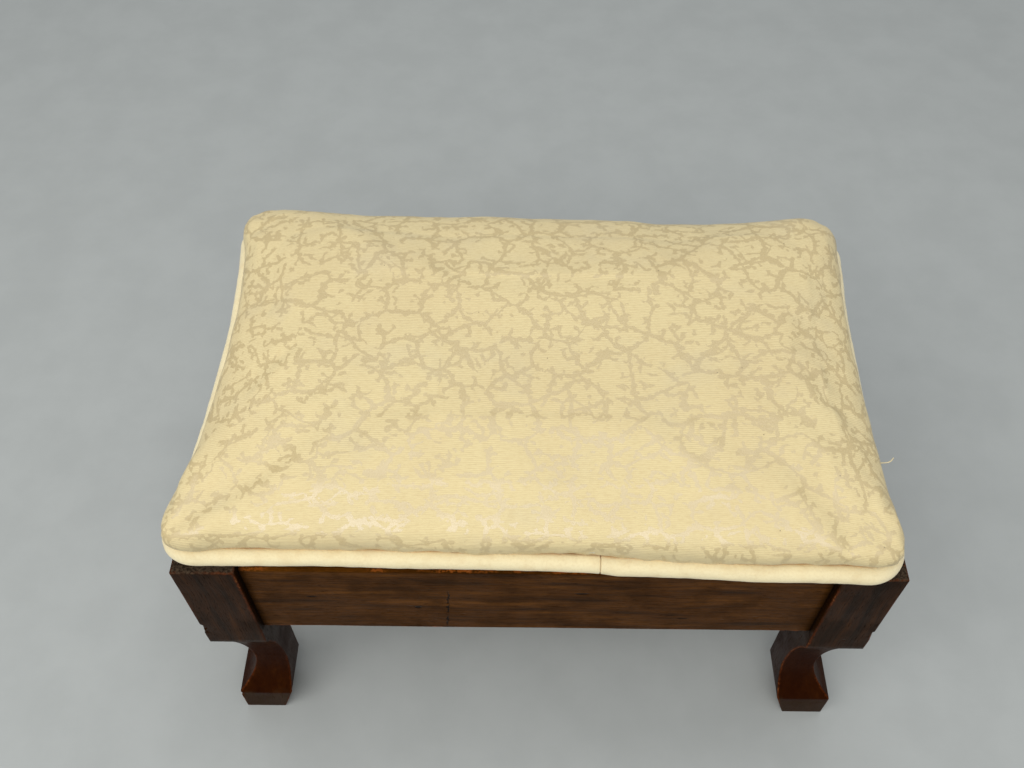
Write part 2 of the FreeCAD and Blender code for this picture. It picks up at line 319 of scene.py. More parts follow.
def dress(piece: Piece, finish: bpy.types.Material, body: str) -> None:
    """Gives a piece its finish and the body that it moves with.

    Args:
        piece: The piece.
        finish: Its material.
        body: The body's name.
    """
    piece.data.materials.clear()
    piece.data.materials.append(finish)
    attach(piece, body)
    LOG.info("%s: %d faces", piece.name, len(piece.data.polygons))


# ---------------------------------------------------------------------------------------------------------
# Finishes
# ---------------------------------------------------------------------------------------------------------


def paint(red: int, green: int, blue: int) -> tuple:
    """Returns a colour for a shader from the numbers that a screen shows, 0 to 255."""
    shown = [part / 255 for part in (red, green, blue)]
    return tuple(c / 12.92 if c <= 0.04045 else ((c + 0.055) / 1.055) ** 2.4 for c in shown) + (1.0,)


class Swatch:
    """One finish in the making: it places shader nodes and joins them up."""

    def __init__(self, name: str) -> None:
        """Starts an empty finish.

        Args:
            name: The material's name.
        """
        self.material = bpy.data.materials.new(name)
        self.material.use_nodes = True
        self.nodes = self.material.node_tree.nodes
        self.links = self.material.node_tree.links
        self.nodes.clear()
        self.shader = self.nodes.new("ShaderNodeBsdfPrincipled")
        output = self.nodes.new("ShaderNodeOutputMaterial")
        self.links.new(self.shader.outputs[0], output.inputs["Surface"])

    def give(self, socket: Socket, value: Value) -> None:
        """Joins a value to a socket, or sets it there."""
        if isinstance(value, bpy.types.NodeSocket):
            self.links.new(value, socket)
        else:
            socket.default_value = value

    def node(self, kind: str, values: dict, **ways: Union[str, bool]) -> bpy.types.Node:
        """Places one shader node.

        Args:
            kind: Its kind, as Blender names it after ShaderNode.
            values: What goes into its sockets, by their names or numbers.
            ways: How it works, by the names of its properties.

        Returns:
            The node.
        """
        node = self.nodes.new("ShaderNode" + kind)
        for name, way in ways.items():
            setattr(node, name, way)
        for socket, value in values.items():
            self.give(node.inputs[socket], value)
        return node

    def place(self) -> Socket:
        """Returns the place on the piece, in millimetres."""
        return self.scaled(self.node("TexCoord", {}).outputs["Object"], IN_MM)

    def on_cloth(self) -> Socket:
        """Returns the place on the flat cloth, in millimetres, as it was kept for each point."""
        return self.scaled(self.node("Attribute", {}, attribute_name="cloth").outputs["Vector"], IN_MM)

    def noted(self, name: str) -> Socket:
        """Returns a number that was kept for each point of the piece."""
        return self.node("Attribute", {}, attribute_name=name).outputs["Fac"]

    def scaled(self, place: Socket, by: tuple) -> Socket:
        """Returns a place with each of its parts multiplied."""
        return self.node("VectorMath", {0: place, 1: by}, operation="MULTIPLY").outputs[0]

    def moved(self, place: Socket, by: Value) -> Socket:
        """Returns a place moved by another."""
        return self.node("VectorMath", {0: place, 1: by}, operation="ADD").outputs[0]

    def part(self, place: Socket, axis: int) -> Socket:
        """Returns one of a place's three numbers."""
        return self.node("SeparateXYZ", {0: place}).outputs[axis]

    def facing(self, axis: int) -> Socket:
        """Returns how far the surface faces along an axis, from -1 to 1."""
        return self.part(self.node("NewGeometry", {}).outputs["True Normal"], axis)

    def clouds(self, place: Socket, spread: float, detail: float = 2.0, rough: float = 0.5) -> Socket:
        """Returns soft chance numbers from 0 to 1.

        Args:
            place: The place on the piece.
            spread: The distance from one cloud to the next.
            detail: How many finer layers lie over it.
            rough: How strong those are.

        Returns:
            The numbers.
        """
        values = {"Vector": place, "Scale": 1 / spread, "Detail": detail, "Roughness": rough}
        return self.node("TexNoise", values).outputs[0]

    def drift(self, place: Socket, spread: float, reach: float, detail: float = 1.0) -> Socket:
        """Returns a place moved about by chance, up to about half the reach to each side."""
        noise = self.node("TexNoise", {"Vector": place, "Scale": 1 / spread, "Detail": detail})
        middle = self.moved(noise.outputs["Color"], (-0.5, -0.5, -0.5))
        return self.moved(place, self.scaled(middle, (reach, reach, reach)))

    def cells(
        self, place: Socket, spread: float, walls: bool, flat: bool = False, chance: float = 1.0
    ) -> Socket:
        """Returns the distance to the nearest cell wall, or to the nearest cell's middle.

        Args:
            place: The place on the piece.
            spread: The distance from one cell to the next.
            walls: Measures to the walls, and else to the middles.
            flat: Leaves out the third number of the place.
            chance: How irregular the cells are.

        Returns:
            The distance, in millimetres.
        """
        kind = "DISTANCE_TO_EDGE" if walls else "F1"
        values = {"Vector": place, "Scale": 1 / spread, "Randomness": chance}
        node = self.node("TexVoronoi", values, voronoi_dimensions="2D" if flat else "3D", feature=kind)
        return self.times(node.outputs["Distance"], spread)

    def sum(self, kind: str, first: Value, second: Value = 0.0, third: Value = 0.0) -> Socket:
        """Returns the result of one sum.

        Args:
            kind: The operation, as Blender names it.
            first: Its first number.
            second: Its second number, where it has one.
            third: Its third number, where it has one.

        Returns:
            The result.
        """
        return self.node("Math", {0: first, 1: second, 2: third}, operation=kind).outputs[0]

    def times(self, first: Value, second: Value) -> Socket:
        """Returns one number multiplied by another."""
        return self.sum("MULTIPLY", first, second)

    def plus(self, first: Value, second: Value) -> Socket:
        """Returns one number added to another."""
        return self.sum("ADD", first, second)

    def less(self, first: Value, second: Value) -> Socket:
        """Returns one number with another taken off it."""
        return self.sum("SUBTRACT", first, second)

    def wave(self, along: Value, pitch: float) -> Socket:
        """Returns a wave from -1 to 1 that returns at every pitch along a number."""
        return self.sum("SINE", self.times(along, 2 * math.pi / pitch))

    def fade(self, value: Socket, start: float, end: float, low: float = 0.0, high: float = 1.0) -> Socket:
        """Returns a number that eases from low to high as a value goes from start to end.

        Args:
            value: The value.
            start: Where the change starts; it may be above the end.
            end: Where it ends.
            low: The number at the start.
            high: The number at the end.

        Returns:
            The number.
        """
        if start > end:
            start, end, low, high = end, start, high, low
        values = {"Value": value, "From Min": start, "From Max": end, "To Min": low, "To Max": high}
        return self.node("MapRange", values, interpolation_type="SMOOTHSTEP", clamp=True).outputs["Result"]

    def blend(self, part: Value, under: Value, over: Value) -> Socket:
        """Returns one colour laid over another.

        Args:
            part: How much of the upper colour is laid on, from 0 to 1.
            under: The lower colour.
            over: The upper colour.

        Returns:
            The colour.
        """
        return self.node("Mix", {0: part, 6: under, 7: over}, data_type="RGBA").outputs[2]

    def between(self, part: Value, first: Value, second: Value) -> Socket:
        """Returns a number that goes from a first to a second as part goes from 0 to 1."""
        return self.node("Mix", {0: part, 2: first, 3: second}, data_type="FLOAT").outputs[0]

    def tinted(self, colour: Value, mask: Value, share: float, tint: tuple) -> Socket:
        """Returns a colour with a share of a tint laid over it where a mask says."""
        return self.blend(self.times(mask, share), colour, tint)

    def flecked(
        self, colour: Value, noise: Socket, start: float, end: float, share: float, tint: tuple
    ) -> Socket:
        """Returns a colour with a share of a tint coming in as a noise goes from start to end."""
        return self.blend(self.fade(noise, start, end, 0.0, share), colour, tint)

    def relief(self, height: Socket, depth: float, under: Optional[Socket] = None) -> Socket:
        """Returns the surface's direction with a relief on it.

        Args:
            height: The relief, from 0 to 1.
            depth: Its depth in millimetres.
            under: The direction with the relief below this one.

        Returns:
            The direction.
        """
        values = {"Strength": 1.0, "Distance": depth * MM, "Height": height}
        if under is not None:
            values["Normal"] = under
        return self.node("Bump", values).outputs["Normal"]

    def finished(
        self, colour: Value, roughness: Value, direction: Socket, **steady: Union[float, tuple]
    ) -> bpy.types.Material:
        """Joins the finish to its shader.

        Args:
            colour: The colour.
            roughness: The roughness.
            direction: The surface's direction with its relief.
            steady: Values that are the same all over, by the shader's names with _ for a space.

        Returns:
            The material.
        """
        values = {"Base Color": colour, "Roughness": roughness, "Normal": direction}
        values.update({name.replace("_", " "): value for name, value in steady.items()})
        for name, value in values.items():
            self.give(self.shader.inputs[name], value)
        return self.material


@dataclass(frozen=True)
class Split:
    """A drying split across a board, seen on its front face."""

    x: float
    low: float
    high: float
    width: float


@dataclass(frozen=True)
class Spot:
    """A small knot, bruise or dark streak on the front face of a board."""

    x: float
    z: float
    wide: float
    tall: float


@dataclass(frozen=True)
class StainedHardwood:
    """Dark stained and polished hardwood whose edges wear through to a redder brown, with a painted highlight
    along them.
    """

    name: str
    along: Along
    deep: tuple
    middle: tuple
    bright: tuple
    # The colour along the edges, where the finish wears through and a painted highlight lies.
    worn_and_highlight: tuple
    shine: float = 0.34
    varnish: tuple = (1.0, 0.62, 0.34, 1.0)
    end_grain_above: Optional[float] = None
    dull_below: Optional[float] = None
    redder_below: Optional[float] = None
    splits: tuple = ()
    spots: tuple = ()

    def make(self) -> bpy.types.Material:
        """Returns the finished material."""
        swatch = Swatch(self.name)
        place = swatch.place()
        bent = swatch.drift(place, 70.0, 9.0)
        broad = swatch.clouds(swatch.scaled(bent, self.along.stretched(0.09)), 7.0, 5.0, 0.62)
        lines = swatch.clouds(swatch.scaled(bent, self.along.stretched(0.035)), 1.1, 3.0, 0.6)
        pores = swatch.clouds(swatch.scaled(bent, self.along.stretched(0.05)), 0.42, 1.0, 0.5)
        stain = swatch.clouds(place, 26.0, 3.0, 0.55)
        colour = swatch.blend(swatch.fade(broad, 0.30, 0.52), self.deep, self.middle)
        colour = swatch.blend(swatch.fade(broad, 0.50, 0.72), colour, self.bright)
        colour = swatch.flecked(colour, lines, 0.42, 0.66, 0.35, self.deep)
        colour = swatch.flecked(colour, stain, 0.46, 0.70, 0.55, self.deep)
        pitted = swatch.fade(pores, 0.60, 0.70)
        colour = swatch.tinted(colour, pitted, 0.55, paint(14, 7, 3))
        rough = swatch.fade(stain, 0.3, 0.7, self.shine - 0.05, self.shine + 0.10)
        rough = swatch.plus(rough, swatch.times(pitted, 0.25))
        colour, rough = self.by_height(swatch, place, colour, rough)
        colour, rough = self.rub_and_highlight_edges(swatch, place, colour, rough)
        holes = self.marks(swatch, place)
        if holes is not None:
            colour = swatch.tinted(colour, holes, 0.92, paint(9, 5, 3))
        # Soiling and painted shade, darkest in the corners where legs and rails meet.
        colour = swatch.blend(swatch.noted("grime_and_shade"), colour, paint(11, 7, 4))
        rough = swatch.plus(rough, swatch.times(swatch.noted("grime_and_shade"), 0.35))
        relief = swatch.relief(swatch.fade(lines, 0.35, 0.70, 1.0, 0.0), 0.05)
        relief = swatch.relief(swatch.less(1.0, pitted), 0.06, relief)
        dents = swatch.fade(swatch.cells(swatch.drift(place, 6.0, 5.0), 17.0, False), 0.6, 2.2)
        relief = swatch.relief(dents, 0.12, relief)
        if holes is not None:
            relief = swatch.relief(swatch.less(1.0, holes), 0.5, relief)
        return swatch.finished(colour, rough, relief, Specular_IOR_Level=0.04, Specular_Tint=self.varnish)

    def by_height(self, swatch: Swatch, place: Socket, colour: Socket, rough: Socket) -> tuple:
        """Changes the finish at the raw top, over the lower leg and at the scuffed foot.

        Args:
            swatch: The finish in the making.
            place: The place on the piece.
            colour: The colour so far.
            rough: The roughness so far.

        Returns:
            The colour and the roughness.
        """
        height = swatch.part(place, 2)
        if self.redder_below is not None:
            lower = swatch.fade(height, self.redder_below, self.redder_below - 60.0)
            colour = swatch.tinted(colour, lower, 0.55, paint(44, 13, 4))
        if self.dull_below is not None:
            uneven = swatch.plus(height, swatch.fade(swatch.clouds(place, 9.0), 0.2, 0.8, -3.0, 3.0))
            foot = swatch.fade(uneven, self.dull_below + 2.5, self.dull_below - 4.0)
            scuffs = swatch.fade(swatch.clouds(place, 4.0, 4.0, 0.7), 0.35, 0.65, 0.35, 0.85)
            foot = swatch.times(foot, scuffs)
            colour = swatch.blend(foot, colour, paint(55, 41, 27))
            rough = swatch.plus(rough, swatch.times(foot, 0.2))
        if self.end_grain_above is not None:
            raw = swatch.fade(height, self.end_grain_above - 0.5, self.end_grain_above + 0.3)
            speckle = swatch.fade(swatch.clouds(place, 1.6, 4.0, 0.75), 0.35, 0.68)
            ends = swatch.blend(speckle, paint(33, 25, 19), paint(74, 62, 50))
            colour = swatch.blend(raw, colour, ends)
            rough = swatch.sum("MAXIMUM", rough, swatch.times(raw, 0.85))
        return colour, rough

    def rub_and_highlight_edges(self, swatch: Swatch, place: Socket, colour: Socket, rough: Socket) -> tuple:
        """Wears the finish through along the edges, more in some places than in others, and paints a light
        highlight along them.

        Args:
            swatch: The finish in the making.
            place: The place on the piece.
            colour: The colour so far.
            rough: The roughness so far.

        Returns:
            The colour and the roughness.
        """
        # Edges: finish wearing through to a redder brown, and a painted highlight line, patchy along their
        # length.
        ragged = swatch.fade(swatch.clouds(place, 2.2, 3.0, 0.65), 0.25, 0.75, -0.9, 0.9)
        edge = swatch.plus(swatch.noted("edge"), ragged)
        rubbed_and_highlit = swatch.fade(edge, 1.5, 0.3)
        patchy = swatch.fade(swatch.clouds(place, 24.0, 2.0), 0.40, 0.62, 0.1, 1.0)
        rubbed_and_highlit = swatch.times(rubbed_and_highlit, patchy)
        colour = swatch.tinted(colour, rubbed_and_highlit, 0.8, self.worn_and_highlight)
        # Lightest right on the edges: wood showing through, and the painted highlight.
        bare_and_highlit = swatch.fade(swatch.plus(edge, swatch.fade(patchy, 0.9, 1.0, 1.0, 0.0)), 0.35, -0.3)
        colour = swatch.tinted(colour, bare_and_highlit, 0.55, paint(140, 92, 52))
        return colour, swatch.plus(rough, swatch.times(rubbed_and_highlit, 0.06))

    def marks(self, swatch: Swatch, place: Socket) -> Optional[Socket]:
        """Returns where splits and spots cut into the wood, or None where there are none."""
        if not self.splits and not self.spots:
            return None
        front = swatch.fade(swatch.facing(1), -0.5, -0.9)
        total: Value = 0.0
        wobble = swatch.fade(swatch.clouds(place, 5.0, 3.0, 0.7), 0.2, 0.8, -1.3, 1.3)
        x = swatch.part(place, 0)
        z = swatch.part(place, 2)
        for split in self.splits:
            lean = swatch.sum("MULTIPLY_ADD", z, 0.055, split.x - 0.055 * (split.low + split.high) / 2)
            away = swatch.sum("ABSOLUTE", swatch.less(swatch.plus(x, wobble), lean))
            line = swatch.fade(away, split.width, split.width * 0.35)
            broken = swatch.fade(swatch.clouds(place, 7.0, 2.0), 0.40, 0.52, 0.15, 1.0)
            start = swatch.fade(z, split.low - 1, split.low + 2)
            length = swatch.times(start, swatch.fade(z, split.high, split.high - 9))
            total = swatch.sum("MAXIMUM", total, swatch.times(swatch.times(line, broken), length))
        for spot in self.spots:
            dx = swatch.less(swatch.sum("MULTIPLY_ADD", wobble, 0.5, x), spot.x)
            dz = swatch.less(swatch.sum("MULTIPLY_ADD", wobble, 0.3, z), spot.z)
            dx = swatch.sum("DIVIDE", dx, spot.wide / 2)
            dz = swatch.sum("DIVIDE", dz, spot.tall / 2)
            away = swatch.sum("SQRT", swatch.plus(swatch.times(dx, dx), swatch.times(dz, dz)))
            total = swatch.sum("MAXIMUM", total, swatch.fade(away, 1.15, 0.6))
        return swatch.times(total, front)


@dataclass(frozen=True)
class PlainPine:
    """Unfinished pine, as sawn, greyed by age."""

    name: str
    along: Along
    early: tuple = paint(198, 160, 108)
    late: tuple = paint(156, 108, 62)
    saw_mark: float = 2 * math.pi / 2.4

    def make(self) -> bpy.types.Material:
        """Returns the finished material."""
        swatch = Swatch(self.name)
        place = swatch.place()
        bent = swatch.scaled(swatch.drift(place, 60.0, 10.0), self.along.stretched(0.05))
        rings = swatch.fade(swatch.clouds(bent, 4.2, 2.0, 0.55), 0.44, 0.60)
        hairs = swatch.clouds(bent, 0.7, 3.0, 0.6)
        colour = swatch.tinted(self.early, rings, 0.7, self.late)
        colour = swatch.flecked(colour, hairs, 0.45, 0.7, 0.35, paint(128, 92, 58))
        grey = swatch.fade(swatch.clouds(place, 22.0, 3.0, 0.6), 0.42, 0.72, 0.0, 0.4)
        colour = swatch.blend(grey, colour, paint(120, 104, 84))
        sawn = swatch.part(swatch.drift(place, 30.0, 3.0), self.along.value)
        relief = swatch.relief(swatch.fade(swatch.wave(sawn, self.saw_mark), -1.0, 1.0), 0.05)
        relief = swatch.relief(hairs, 0.10, relief)
        rough = swatch.fade(hairs, 0.3, 0.7, 0.66, 0.84)
        return swatch.finished(colour, rough, relief, Specular_IOR_Level=0.35)


@dataclass(frozen=True)
class LayeredBoard:
    """Plywood: a smooth face veneer, and thin layers with the grain crossing along its edges."""

    name: str
    bottom: float
    layer: float = 1.7

    def make(self) -> bpy.types.Material:
        """Returns the finished material."""
        swatch = Swatch(self.name)
        place = swatch.place()
        bent = swatch.scaled(swatch.drift(place, 80.0, 12.0), Along.WIDTH.stretched(0.05))
        streaks = swatch.clouds(bent, 2.6, 4.0, 0.6)
        face = swatch.blend(swatch.fade(streaks, 0.38, 0.64), paint(214, 182, 134), paint(178, 138, 90))
        height = swatch.sum("DIVIDE", swatch.less(swatch.part(place, 2), self.bottom), 2 * self.layer)
        turn = swatch.fade(swatch.wave(height, 1.0), -0.25, 0.25)
        fibres = swatch.clouds(place, 0.8, 3.0, 0.7)
        edge = swatch.blend(turn, paint(196, 160, 110), paint(124, 88, 54))
        edge = swatch.flecked(edge, fibres, 0.4, 0.7, 0.4, paint(96, 66, 40))
        level = swatch.fade(swatch.sum("ABSOLUTE", swatch.facing(2)), 0.6, 0.8)
        colour = swatch.blend(level, edge, face)
        relief = swatch.relief(fibres, 0.08)
        rough = swatch.fade(streaks, 0.3, 0.7, 0.6, 0.78)
        return swatch.finished(colour, rough, relief, Specular_IOR_Level=0.35)


@dataclass(frozen=True)
class Steel:
    """Plain steel, dulled and spotted with a little rust."""

    name: str
    bright: tuple = paint(150, 148, 142)
    rust: float = 0.35

    def make(self) -> bpy.types.Material:
        """Returns the finished material."""
        swatch = Swatch(self.name)
        place = swatch.place()
        tarnish = swatch.clouds(place, 1.6, 4.0, 0.65)
        colour = swatch.blend(swatch.fade(tarnish, 0.35, 0.7), self.bright, paint(92, 88, 82))
        spots = swatch.fade(swatch.clouds(place, 3.0, 4.0, 0.7), 0.56, 0.66, 0.0, self.rust)
        colour = swatch.blend(spots, colour, paint(112, 62, 34))
        scratches = swatch.clouds(swatch.scaled(place, (1.0, 6.0, 1.0)), 0.5, 2.0, 0.6)
        rough = swatch.plus(swatch.fade(tarnish, 0.3, 0.7, 0.32, 0.5), swatch.times(spots, 0.4))
        return swatch.finished(colour, rough, swatch.relief(scratches, 0.02), Metallic=1.0)


@dataclass(frozen=True)
class Damask:
    """Cream damask: a branching satin figure on a finely ribbed ground, in one colour.

    The satin strokes are a shade darker than the ground, but they shine, so they turn lighter than it where
    the light glances off the pad.
    """

    name: str = "cream_damask"
    ground: tuple = paint(226, 207, 151)
    satin: tuple = paint(201, 177, 120)
    rib: float = 1.4
    cell: float = 24.0
    stroke: float = 1.75
    branch_reach: float = 7.5

    def figure(self, swatch: Swatch, cloth: Socket) -> Socket:
        """Returns the branching figure, 1 on its strokes and 0 on the ground.

        Args:
            swatch: The finish in the making.
            cloth: The place on the cloth, as woven.

        Returns:
            The figure.
        """
        curved = swatch.drift(swatch.drift(cloth, 24.0, 17.0, 0.0), 9.0, 3.2, 0.0)
        knobs = swatch.cells(swatch.drift(cloth, 7.0, 2.0, 0.0), 4.4, False, True)
        knobs = swatch.fade(knobs, 0.8, 2.2, 0.95, -0.55)
        frayed = swatch.fade(swatch.clouds(cloth, 0.8, 1.0, 0.6), 0.25, 0.75, -0.22, 0.22)
        width = swatch.plus(swatch.plus(knobs, frayed), self.stroke)
        away = swatch.cells(curved, self.cell, True, True)
        gaps = swatch.clouds(swatch.moved(cloth, (311.0, 57.0, 0.0)), 13.0, 0.0)
        gaps = swatch.fade(gaps, 0.34, 0.40, -5.0, 0.0)
        stems = swatch.plus(swatch.less(width, away), gaps)
        twisted = swatch.drift(swatch.moved(cloth, (83.0, 219.0, 0.0)), 13.0, 8.0, 0.0)
        branch = swatch.cells(twisted, self.cell * 0.48, True, True)
        close_by = swatch.fade(away, self.branch_reach, self.branch_reach + 1.5, 0.0, -6.0)
        some = swatch.clouds(swatch.moved(cloth, (17.0, 401.0, 0.0)), 9.0, 0.0)
        some = swatch.fade(some, 0.43, 0.50, -5.0, -0.25)
        twigs = swatch.plus(swatch.plus(swatch.less(width, branch), some), close_by)
        return swatch.fade(swatch.sum("MAXIMUM", stems, twigs), -0.2, 0.3)

    def make(self) -> bpy.types.Material:
        """Returns the finished material."""
        swatch = Swatch(self.name)
        cloth = swatch.on_cloth()
        figure = self.figure(swatch, cloth)
        yarn = swatch.drift(cloth, 30.0, 0.8)
        rib = swatch.fade(swatch.wave(swatch.part(yarn, 1), self.rib), -1.0, 1.0)
        thread = swatch.clouds(swatch.scaled(cloth, (0.3, 1.0, 1.0)), 1.25, 3.0, 0.75)
        slub = swatch.clouds(swatch.scaled(cloth, (0.3, 1.0, 1.0)), 2.3, 2.0, 0.6)
        floats = swatch.clouds(swatch.scaled(cloth, (1.0, 0.45, 1.0)), 0.55, 2.0, 0.7)
        ribbed = swatch.blend(swatch.fade(rib, 0.0, 0.75, 0.55, 0.0), self.ground, paint(214, 190, 138))
        ribbed = swatch.flecked(ribbed, thread, 0.42, 0.68, 0.42, paint(200, 174, 118))
        glossy = swatch.flecked(self.satin, floats, 0.38, 0.68, 0.6, paint(218, 196, 142))
        colour = swatch.blend(figure, ribbed, glossy)
        tired = swatch.fade(swatch.clouds(cloth, 95.0, 3.0, 0.6), 0.38, 0.68, 0.0, 0.16)
        colour = swatch.blend(tired, colour, paint(196, 168, 116))
        greyed = swatch.clouds(swatch.moved(cloth, (512.0, 88.0, 0.0)), 48.0, 3.0, 0.6)
        greyed = swatch.fade(greyed, 0.50, 0.74, 0.0, 0.14)
        colour = swatch.blend(greyed, colour, paint(190, 180, 156))
        speck = swatch.cells(swatch.moved(cloth, (41.0, 13.0, 0.0)), 31.0, False, True)
        rare = swatch.fade(swatch.clouds(cloth, 37.0, 1.0), 0.60, 0.64)
        speck = swatch.times(swatch.fade(speck, 0.55, 0.30), rare)
        colour = swatch.tinted(colour, speck, 0.7, paint(104, 76, 44))
        # Painted warm shade in the crease where the cover tucks down to the welt.
        colour = swatch.tinted(colour, swatch.noted("seam"), 0.75, paint(196, 138, 66))
        rough = swatch.fade(figure, 0.0, 1.0, 0.90, 0.45)
        rough = swatch.plus(rough, swatch.fade(floats, 0.3, 0.7, -0.05, 0.06))
        height = swatch.between(figure, rib, swatch.fade(floats, 0.30, 0.70, 0.35, 0.95))
        relief = swatch.relief(height, 0.08)
        relief = swatch.relief(slub, 0.14, relief)
        return swatch.finished(
            colour, rough, relief, Specular_IOR_Level=1.0, IOR=1.8, Sheen_Weight=0.06, Sheen_Roughness=0.4
        )


@dataclass(frozen=True)
class PlainCloth:
    """A plain, heavier cream cloth with a soft, slightly fuzzy face, cut on the bias for the welt."""

    name: str = "cream_welt_cloth"
    colour: tuple = paint(248, 234, 192)
    shade: tuple = paint(234, 212, 160)
    thread: float = 0.85

    def make(self) -> bpy.types.Material:
        """Returns the finished material."""
        swatch = Swatch(self.name)
        cloth = swatch.on_cloth()
        yarn = swatch.drift(cloth, 9.0, 0.9)
        u = swatch.part(yarn, 0)
        v = swatch.part(yarn, 1)
        pitch = self.thread / 0.7071
        weave = swatch.times(swatch.wave(swatch.plus(u, v), pitch), swatch.wave(swatch.less(u, v), pitch))
        weave = swatch.fade(weave, -1.0, 1.0)
        fuzz = swatch.clouds(cloth, 1.5, 4.0, 0.75)
        uneven = swatch.clouds(cloth, 14.0, 3.0, 0.6)
        colour = swatch.blend(swatch.fade(weave, 0.1, 0.8, 0.3, 0.0), self.colour, self.shade)
        colour = swatch.flecked(colour, fuzz, 0.42, 0.70, 0.35, paint(228, 208, 160))
        colour = swatch.flecked(colour, uneven, 0.45, 0.72, 0.30, paint(218, 188, 134))
        # Darker in patches where the cloth faces down, and on its flange.
        darker_facing_down = swatch.fade(swatch.clouds(cloth, 6.0, 3.0), 0.3, 0.7, 0.15, 0.5)
        darker_facing_down = swatch.times(swatch.noted("under"), darker_facing_down)
        colour = swatch.blend(darker_facing_down, colour, paint(196, 172, 140))
        # Painted warm shade in the crease where the cover meets the welt.
        colour = swatch.tinted(colour, swatch.noted("seam"), 0.8, paint(222, 160, 84))
        # Painted shadow line in the groove where the welt's two ends meet.
        colour = swatch.tinted(colour, swatch.noted("joint"), 0.3, paint(150, 104, 58))
        relief = swatch.relief(weave, 0.10)
        relief = swatch.relief(fuzz, 0.22, relief)
        rough = swatch.fade(fuzz, 0.3, 0.7, 0.82, 0.95)
        return swatch.finished(
            colour, rough, relief, Specular_IOR_Level=0.3, Sheen_Weight=0.25, Sheen_Roughness=0.5
        )


@dataclass(frozen=True)
class Bottoming:
    """Thin black bonded cloth, as stapled under a seat, with pressed fibres and dust."""

    name: str = "black_dust_cloth"

    def make(self) -> bpy.types.Material:
        """Returns the finished material."""
        swatch = Swatch(self.name)
        place = swatch.place()
        fibres = swatch.clouds(swatch.drift(place, 3.0, 4.0, 2.0), 0.9, 4.0, 0.8)
        dimple = swatch.fade(swatch.cells(place, 1.3, False, True, 0.15), 0.2, 0.6)
        colour = swatch.blend(swatch.fade(fibres, 0.35, 0.7), paint(22, 22, 24), paint(52, 51, 52))
        dust = swatch.fade(swatch.clouds(place, 18.0, 4.0, 0.65), 0.45, 0.75, 0.0, 0.3)
        colour = swatch.blend(dust, colour, paint(104, 98, 88))
        relief = swatch.relief(dimple, 0.07)
        relief = swatch.relief(fibres, 0.12, relief)
        rough = swatch.fade(fibres, 0.3, 0.7, 0.8, 0.95)
        return swatch.finished(colour, rough, relief, Specular_IOR_Level=0.25)


@dataclass(frozen=True)
class Filling:
    """What is inside the pad: open foam, carded wadding or twisted cotton."""

    name: str
    pale: tuple
    dark: tuple
    grain: float
    depth: float
    pores: bool = False

    def make(self) -> bpy.types.Material:
        """Returns the finished material."""
        swatch = Swatch(self.name)
        place = swatch.place()
        if self.pores:
            height = swatch.fade(swatch.cells(place, self.grain, True), 0.0, self.grain * 0.3, 1.0, 0.0)
        else:
            tangled = swatch.drift(place, self.grain * 4, self.grain * 6, 2.0)
            height = swatch.clouds(tangled, self.grain, 5.0, 0.8)
        aged = swatch.fade(swatch.clouds(place, 30.0, 3.0), 0.4, 0.7, 0.0, 0.4)
        colour = swatch.blend(swatch.fade(height, 0.2, 0.8), self.dark, self.pale)
        colour = swatch.blend(aged, colour, self.dark)
        rough = swatch.fade(height, 0.2, 0.8, 0.85, 0.95)
        return swatch.finished(colour, rough, swatch.relief(height, self.depth), Sheen_Weight=0.2)


# ---------------------------------------------------------------------------------------------------------
# The stand
# ---------------------------------------------------------------------------------------------------------


@dataclass(frozen=True)
class Corner:
    """One corner of the stand: its name, its turn about the vertical, and where its outer corner stands."""

    name: str
    turn: float
    x: float
    y: float

    def placing(self) -> Matrix:
        """Returns the move from the workbench to this corner, in metres."""
        turned = Matrix.Rotation(math.radians(self.turn), 4, "Z")
        return Matrix.Translation((self.x * MM, self.y * MM, 0.0)) @ turned


@dataclass(frozen=True)
class Chip:
    """A splinter broken out of a leg's edge, in the stand's own place."""

    corner: str
    at: tuple
    reach: float
    depth: float


